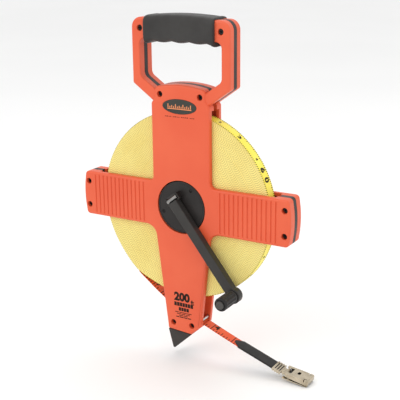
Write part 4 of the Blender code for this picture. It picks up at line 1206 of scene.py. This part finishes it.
def hook_cutters():
    """What is taken out of the hook's block: its inside, the wedge at its side, and the top's openings."""
    half, sheet, top, bottom = HOOK_HALF_WIDTH, HOOK_SHEET, HOOK_TOP, HOOK_BOTTOM
    near, far, shelf, high = -6 * MM, HOOK_LENGTH - sheet, -1.9 * MM, 5 * MM
    base = bottom + sheet
    inner = [(near, base, 0.0), (far, base, 0.35 * MM), (far, shelf, 0.1 * MM), (near, shelf, 0.0)]
    wedge = [(near, -2.0 * MM), (HOOK_LENGTH - 4 * MM, -2.0 * MM), (near, -0.2 * MM)]
    room = [((-5 * MM, far), (-half + sheet, half - sheet), (base, top - sheet))]
    slit_x, slit_z = mm((20.6, 21.5), (1.0, 5.0))
    openings = [
        mm((-5.0, 6.0), (-4.9, 4.9), (0.0, 5.0)),
        (slit_x, (-half - MM, -5.2 * MM), slit_z),
        (slit_x, (5.2 * MM, half + MM), slit_z),
    ]
    slit_corners = [mm((20.9, 23.4), y, (1.1, 4.9)) for y in ((-5.9, -5.1), (5.1, 5.9))]
    slot = rounded(mm((-1.8, -1.6, 1.5), (3.4, -1.6, 1.5), (3.4, 1.6, 1.5), (-1.8, 1.6, 1.5)))
    bm = bmesh.new()
    closed(bm, [[bm.verts.new((12.6 * MM - p.y, p.x, z)) for p in slot] for z in (0.0, high)])
    return (
        plate(rounded(inner), -half - MM, half + MM),
        boxes(room),
        boxes(openings),
        plate([Vector(p) for p in wedge], -half - MM, -half + sheet + 0.1 * MM),
        boxes(slit_corners),
        solid(bm),
    )


def hook():
    placing = frame_of((cos(HOOK_TILT), 0.0, -sin(HOOK_TILT)), (sin(HOOK_TILT), 0.0, cos(HOOK_TILT)),
                       (HOOK_PIVOT[0], 0.0, HOOK_PIVOT[1]))
    back = -1.8 * MM
    corners = [(back, HOOK_BOTTOM, 0.3 * MM), (HOOK_LENGTH, HOOK_BOTTOM, 2.3 * MM),
               (HOOK_LENGTH, HOOK_TOP, 1.5 * MM), (back, HOOK_TOP, 0.3 * MM)]
    body = plate(rounded(corners), -HOOK_HALF_WIDTH, HOOK_HALF_WIDTH)
    carve(body, "DIFFERENCE", *hook_cutters())
    moved(body, placing)
    carve(body, "DIFFERENCE", turned(HOOK_BORE, HOOK_PIVOT, 32))
    soften(body, 0.14 * MM)
    # A dark sheet under the hook's top plate, seen through its openings: painted shade, not a part of the
    # hook.
    shade_sheet = moved(boxes([mm((2.9, 19.0), (-6.6, 6.6), (1.2, 1.6))]), placing)
    fit(shade_sheet, "hook_painted_shade_sheet", "vinyl_and_painted_shade", "hook", slot="hook_plate")
    return fit(body, "folded_hook", "nickel", "hook", "hook_plate")


def blade_outside():
    run, free = split_ways()
    run = Way([p for p in run.points if p.x > LEADER_START])
    ribbon(run, "blade_leader", "leader", "frame", "blade_run")
    tip = ribbon(free, "blade_tip", "leader", "frame", "blade_free_end")
    zero = free.length + SCALE_ZERO
    ribbon_print(free, "tip_print", "blade_free_end", zero, 1.0 * MM, 38.0 * MM)
    ribbon_print(run, "leader_print", "blade_run", zero + run.length, 1.0 * MM, run.length - 1.0 * MM)
    wrap = sleeve(free)
    clamp = ferrule()
    clip = hook()


# Spool front, crank and knob

CRANK_ANGLE = radians(52.0)
CRANK_ALONG = Vector((cos(CRANK_ANGLE), 0.0, -sin(CRANK_ANGLE)))
CRANK_ACROSS = Vector((sin(CRANK_ANGLE), 0.0, cos(CRANK_ANGLE)))
CRANK_BACK = -13.2 * MM
CRANK_FRONT = -21.4 * MM
CRANK_HALF = 5.2 * MM
CRANK_BOSS_R = 7.8 * MM
KNOB_REACH = 100.6 * MM
FOLD_REACH = -11.0 * MM
FOLD_Y = 0.5 * (CRANK_BACK + CRANK_FRONT)
FOLD_PIN_R = 2.2 * MM
EAR_SPAN = (5.6 * MM, 8.8 * MM)
EAR_HALF = 3.5 * MM
KNOB_R = 6.9 * MM
KNOB_LENGTH = 23.4 * MM
KNOB_FLUTES = 12
SPINDLE_R = 2.4 * MM
SPINDLE_CAP_R = 4.1 * MM
DISC_FRONT = -12.2 * MM
KNOB_PLACE = (CRANK_ALONG.x * KNOB_REACH, CRANK_ALONG.z * KNOB_REACH)
KNOB_BACK_END = [  # millimetres in from the end, share of the radius, and share of the flutes' depth
    (0.0, 0.84, 0.0), (0.5, 0.90, 0.0), (1.6, 0.955, 0.0),
    (2.4, 0.965, 0.0), (2.9, 1.0, 0.6), (3.6, 1.0, 1.0),
]
KNOB_FRONT_END = [
    (4.4, 1.0, 1.0), (3.7, 1.0, 0.6), (3.2, 0.975, 0.0), (1.8, 0.985, 0.0),
    (0.9, 0.96, 0.0), (0.3, 0.90, 0.0), (0.0, 0.84, 0.0),
]
FLUTE_DEPTH = 0.62 * MM


def fold_cylinder(radius, half_length, steps=48):
    """A cylinder on the crank's fold hinge, which runs across the crank."""
    bm = loft([(end * half_length, circle(radius, steps)) for end in (-1, 1)])
    middle = CRANK_ALONG * FOLD_REACH + Vector((0.0, FOLD_Y, 0.0))
    placing = frame_of(CRANK_ALONG, Vector((0.0, 1.0, 0.0)), middle)
    for row in range(3):
        placing[row][1] = CRANK_ACROSS[row]
    bm.transform(placing)
    return solid(bm)


def disc_screw_places():
    reach, spread = 21.4 * MM, radians(110.0)
    turns = (-CRANK_ANGLE, spread - CRANK_ANGLE, -spread - CRANK_ANGLE)
    return [(reach * cos(turn), reach * sin(turn)) for turn in turns]


def drive_disc():
    """The disc with its rim groove, and the two ears that hold the pin that the crank folds on."""
    disc = rounded_plate(circle(DISC_R, 160), -7.2 * MM, DISC_FRONT, 0.6 * MM)
    placing = frame_of(CRANK_ALONG, CRANK_ACROSS)
    near, far = FOLD_REACH - EAR_HALF, FOLD_REACH + EAR_HALF
    ears = []
    for low, high in (EAR_SPAN, (-EAR_SPAN[1], -EAR_SPAN[0])):
        outline = [Vector(p) for p in ((near, low), (far, low), (far, high), (near, high))]
        ears.append(moved(plate(outline, -18.6 * MM, -11.0 * MM), placing))
    carve(disc, "UNION", *ears)
    hole = mm((-6.0, 1.2), (-10.4, 1.2), (-10.4, 1.8), (-13.0, 1.8))
    cuts = [turned(hole, place, 40) for place in disc_screw_places()]
    cuts.append(ring_cutter((-13 * MM, DISC_FRONT + 0.3 * MM), (DISC_R - 1.5 * MM, DISC_R - 1.6 * MM),
                            (DISC_R - 2.2 * MM, DISC_R - 2.1 * MM), 160))
    cuts.append(fold_cylinder(FOLD_PIN_R + GAP, 7.4 * MM))
    carve(disc, "DIFFERENCE", *cuts)
    soften(disc, 0.22 * MM, angle=50.0)
    fit(disc, "crank_disc", "disc", "spool", "drive_disc")


def crank_outline():
    """The arm seen from the front: straight sides, and a round boss at the knob's end."""
    shoulder = sqrt(CRANK_BOSS_R**2 - CRANK_HALF**2)
    first = atan2(-CRANK_HALF, -shoulder)
    last = atan2(CRANK_HALF, -shoulder)
    outline = [Vector((FOLD_REACH, CRANK_HALF)), Vector((FOLD_REACH, -CRANK_HALF))]
    steps = 56
    for k in range(steps + 1):
        angle = first + (last - first) * k / steps
        outline.append(Vector((KNOB_REACH + CRANK_BOSS_R * cos(angle), CRANK_BOSS_R * sin(angle))))
    return outline


def crank_arm():
    placing = frame_of(CRANK_ALONG, CRANK_ACROSS)
    arm = moved(pillow(crank_outline(), CRANK_FRONT, CRANK_BACK, 1.0 * MM), placing)
    carve(arm, "UNION", fold_cylinder(0.5 * (CRANK_BACK - CRANK_FRONT), CRANK_HALF - 0.05 * MM))
    window_x = (FOLD_REACH - 5.2 * MM, FOLD_REACH + 2.5 * MM)
    window = boxes([(window_x, (-24 * MM, FOLD_Y - 0.2 * MM), (-12 * MM, 12 * MM))])
    spindle = turned(mm((-25.0, 2.7), (-10.0, 2.7)), KNOB_PLACE, 40)
    carve(arm, "DIFFERENCE", fold_cylinder(FOLD_PIN_R + GAP, 12 * MM), moved(window, placing), spindle)
    soften(arm, 0.2 * MM, angle=50.0)
    fit(arm, "crank_bar", "crank", "crank", "crank_arm")


def knob():
    y_back = CRANK_FRONT - 0.5 * MM
    y_front = y_back - KNOB_LENGTH
    profile = [(y_back - inward * MM, share, flute) for inward, share, flute in KNOB_BACK_END]
    profile += [(y_front + inward * MM, share, flute) for inward, share, flute in KNOB_FRONT_END]
    steps = KNOB_FLUTES * 14
    sections = []
    for y, share, flute in profile:
        loop = []
        for k in range(steps):
            angle = 2 * pi * k / steps
            wave = (0.5 - 0.5 * cos(KNOB_FLUTES * angle)) ** 0.7
            radius = KNOB_R * share - flute * FLUTE_DEPTH * wave
            loop.append(Vector((KNOB_PLACE[0] + radius * cos(angle), KNOB_PLACE[1] + radius * sin(angle))))
        sections.append((y, loop))
    grip = solid(loft(sections, [(y, circle(SPINDLE_R + RUN, 48, KNOB_PLACE)) for y in (y_back, y_front)]))
    wide, narrow = SPINDLE_CAP_R + 1.1 * MM, SPINDLE_CAP_R - 0.2 * MM
    ring = ring_cutter((y_front - MM, y_front + 0.9 * MM), (wide, wide), (narrow, narrow), 64, KNOB_PLACE)
    carve(grip, "DIFFERENCE", ring)
    fit(grip, "fluted_knob", "knob", "knob", "crank_knob", crease=40.0)
    front = y_front - RUN
    rod = turned([(CRANK_BACK - 0.3 * MM, SPINDLE_R), (front, SPINDLE_R), (front, SPINDLE_CAP_R),
                  (front - 0.7 * MM, SPINDLE_CAP_R), (front - 1.1 * MM, narrow),
                  (front - 1.4 * MM, SPINDLE_CAP_R - 0.7 * MM)], KNOB_PLACE, 64)
    dish = [(front - 1.15 * MM, 2.5 * MM), (front - 2 * MM, 2.9 * MM)]
    carve(rod, "DIFFERENCE", turned(dish, KNOB_PLACE, 64))
    fit(rod, "knob_cap", "cap", "crank", "knob_spindle")


# Screws, pins and the rear of the hub


def screw_solid(centre, y_head, y_under, y_tip, head_r, shank_r):
    """A socket-headed screw with a chamfered head and a pointed tip."""
    side = 1.0 if y_head > y_under else -1.0
    cut = 0.25 * MM
    head = [(y_head, head_r - cut), (y_head - side * cut, head_r), (y_under, head_r), (y_under, shank_r)]
    tip = [(y_tip + side * 0.6 * MM, shank_r), (y_tip, shank_r * 0.6)]
    body = turned(head + tip, centre, 40)
    socket = plate(circle(head_r * 0.52, 6, centre), y_head + side * MM, y_head - side * 1.0 * MM)
    return carve(body, "DIFFERENCE", socket)


def screws():
    head = -FRAME_HALF + SCREW_SINK
    for place, centre in SCREW_PLACES.items():
        body = screw_solid(centre, head, head + SCREW_HEAD_H, SCREW_TIP, SCREW_HEAD_R, SCREW_R)
        fit(body, f"machine_screw_{place}", "screw", "frame", f"screw_{place}")
    for k, centre in enumerate(disc_screw_places()):
        body = screw_solid(centre, -11.9 * MM, -10.7 * MM, -1.0 * MM, 1.5 * MM, 0.9 * MM)
        fit(body, f"disc_fixing_{k + 1}", "screw", "spool", f"disc_screw_{k + 1}")
    body = screw_solid((0.0, 0.0), 17.1 * MM, 15.5 * MM, 5.0 * MM, 4.0 * MM, 2.0 * MM)
    fit(body, "hub_fixing", "screw", "spool", "rear_cap_screw")


def rear_hub():
    profile = mm((13.2, 14.1), (13.5, 14.5), (14.5, 14.5), (15.0, 14.2), (15.2, 13.6))
    cap = turned(profile, steps=128, bore=2.3 * MM)
    carve(cap, "DIFFERENCE", ring_cutter(*mm((16.0, 14.8), (11.6, 11.4), (10.2, 10.4)), 96))
    fit(cap, "hub_cap", "disc", "spool", "rear_hub_cap")
    bush = turned(mm((7.5, 11.9), (7.8, 12.2), (12.1, 12.2), (12.4, 11.9)), steps=96, bore=9.9 * MM)
    fit(bush, "hub_bush", "disc", "frame", "rear_bush")


def pins():
    reach, end, wide = 9.3 * MM, 1.2 * MM, 1.5 * MM
    ends = [(-reach, end), (-reach + 0.3 * MM, wide), (reach - 0.3 * MM, wide), (reach, end)]
    fit(turned(ends, GUIDE_PLACE, 48), "guide_roller", "steel", "frame", "blade_guide_pin")
    hinge = fold_cylinder(FOLD_PIN_R, 6.7 * MM, 64)
    soften(hinge, 0.3 * MM, angle=60.0)
    fit(hinge, "fold_pin", "pin", "spool", "crank_hinge_pin")


def spike():
    outline = rounded(mm((-17.7, -133.62, 0.0), (-17.4, -160.3, 1.3), (9.2, -135.5, 0.0)), 12)
    depth = 12.4 * MM
    bm = loft([(-depth, outline), (depth, outline)])
    top, bottom = -133.6 * MM, -160.5 * MM
    for vert in bm.verts:
        share = min(1.0, max(0.0, (vert.co.z - top) / (bottom - top)))
        vert.co.y *= 1 - 0.72 * share
    body = soften(solid(bm), 0.55 * MM, 3)
    carve(body, "UNION", boxes([mm((-15.5, 4.0), (-2.0, 2.0), (-137.0, -119.9))]))
    hole = turned([(-4.0 * MM, SCREW_R + RUN), (4.0 * MM, SCREW_R + RUN)], SCREW_PLACES["foot_left"], 32)
    carve(body, "DIFFERENCE", hole)
    fit(body, "pointed_foot", "spike", "frame", "ground_spike")


# The CAD nodes. Those that aren't named here are hidden behind the shapes above.

NODE_LOOKS = {
    "handle_seam_strip": "strip",
    "left_arm_seam_strip": "strip",
    "right_arm_seam_strip": "strip",
    "hub_drum": "disc",
    "blade_anchor_pin": "steel",
    "hook_pin": "steel",
}


def dress():
    for name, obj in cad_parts.items():
        obj.data.materials.clear()
        obj.data.materials.append(LOOKS[NODE_LOOKS.get(name, "screw")])


studio_camera()
studio()
LOOKS = make_materials()
floor(cad_box[0].z)
dress()
blade_outside()
wound_blade()
lap_print()
frame_halves()
hand_grip()
badge()
foot_print()
drive_disc()
crank_arm()
knob()
screws()
rear_hub()
pins()
spike()
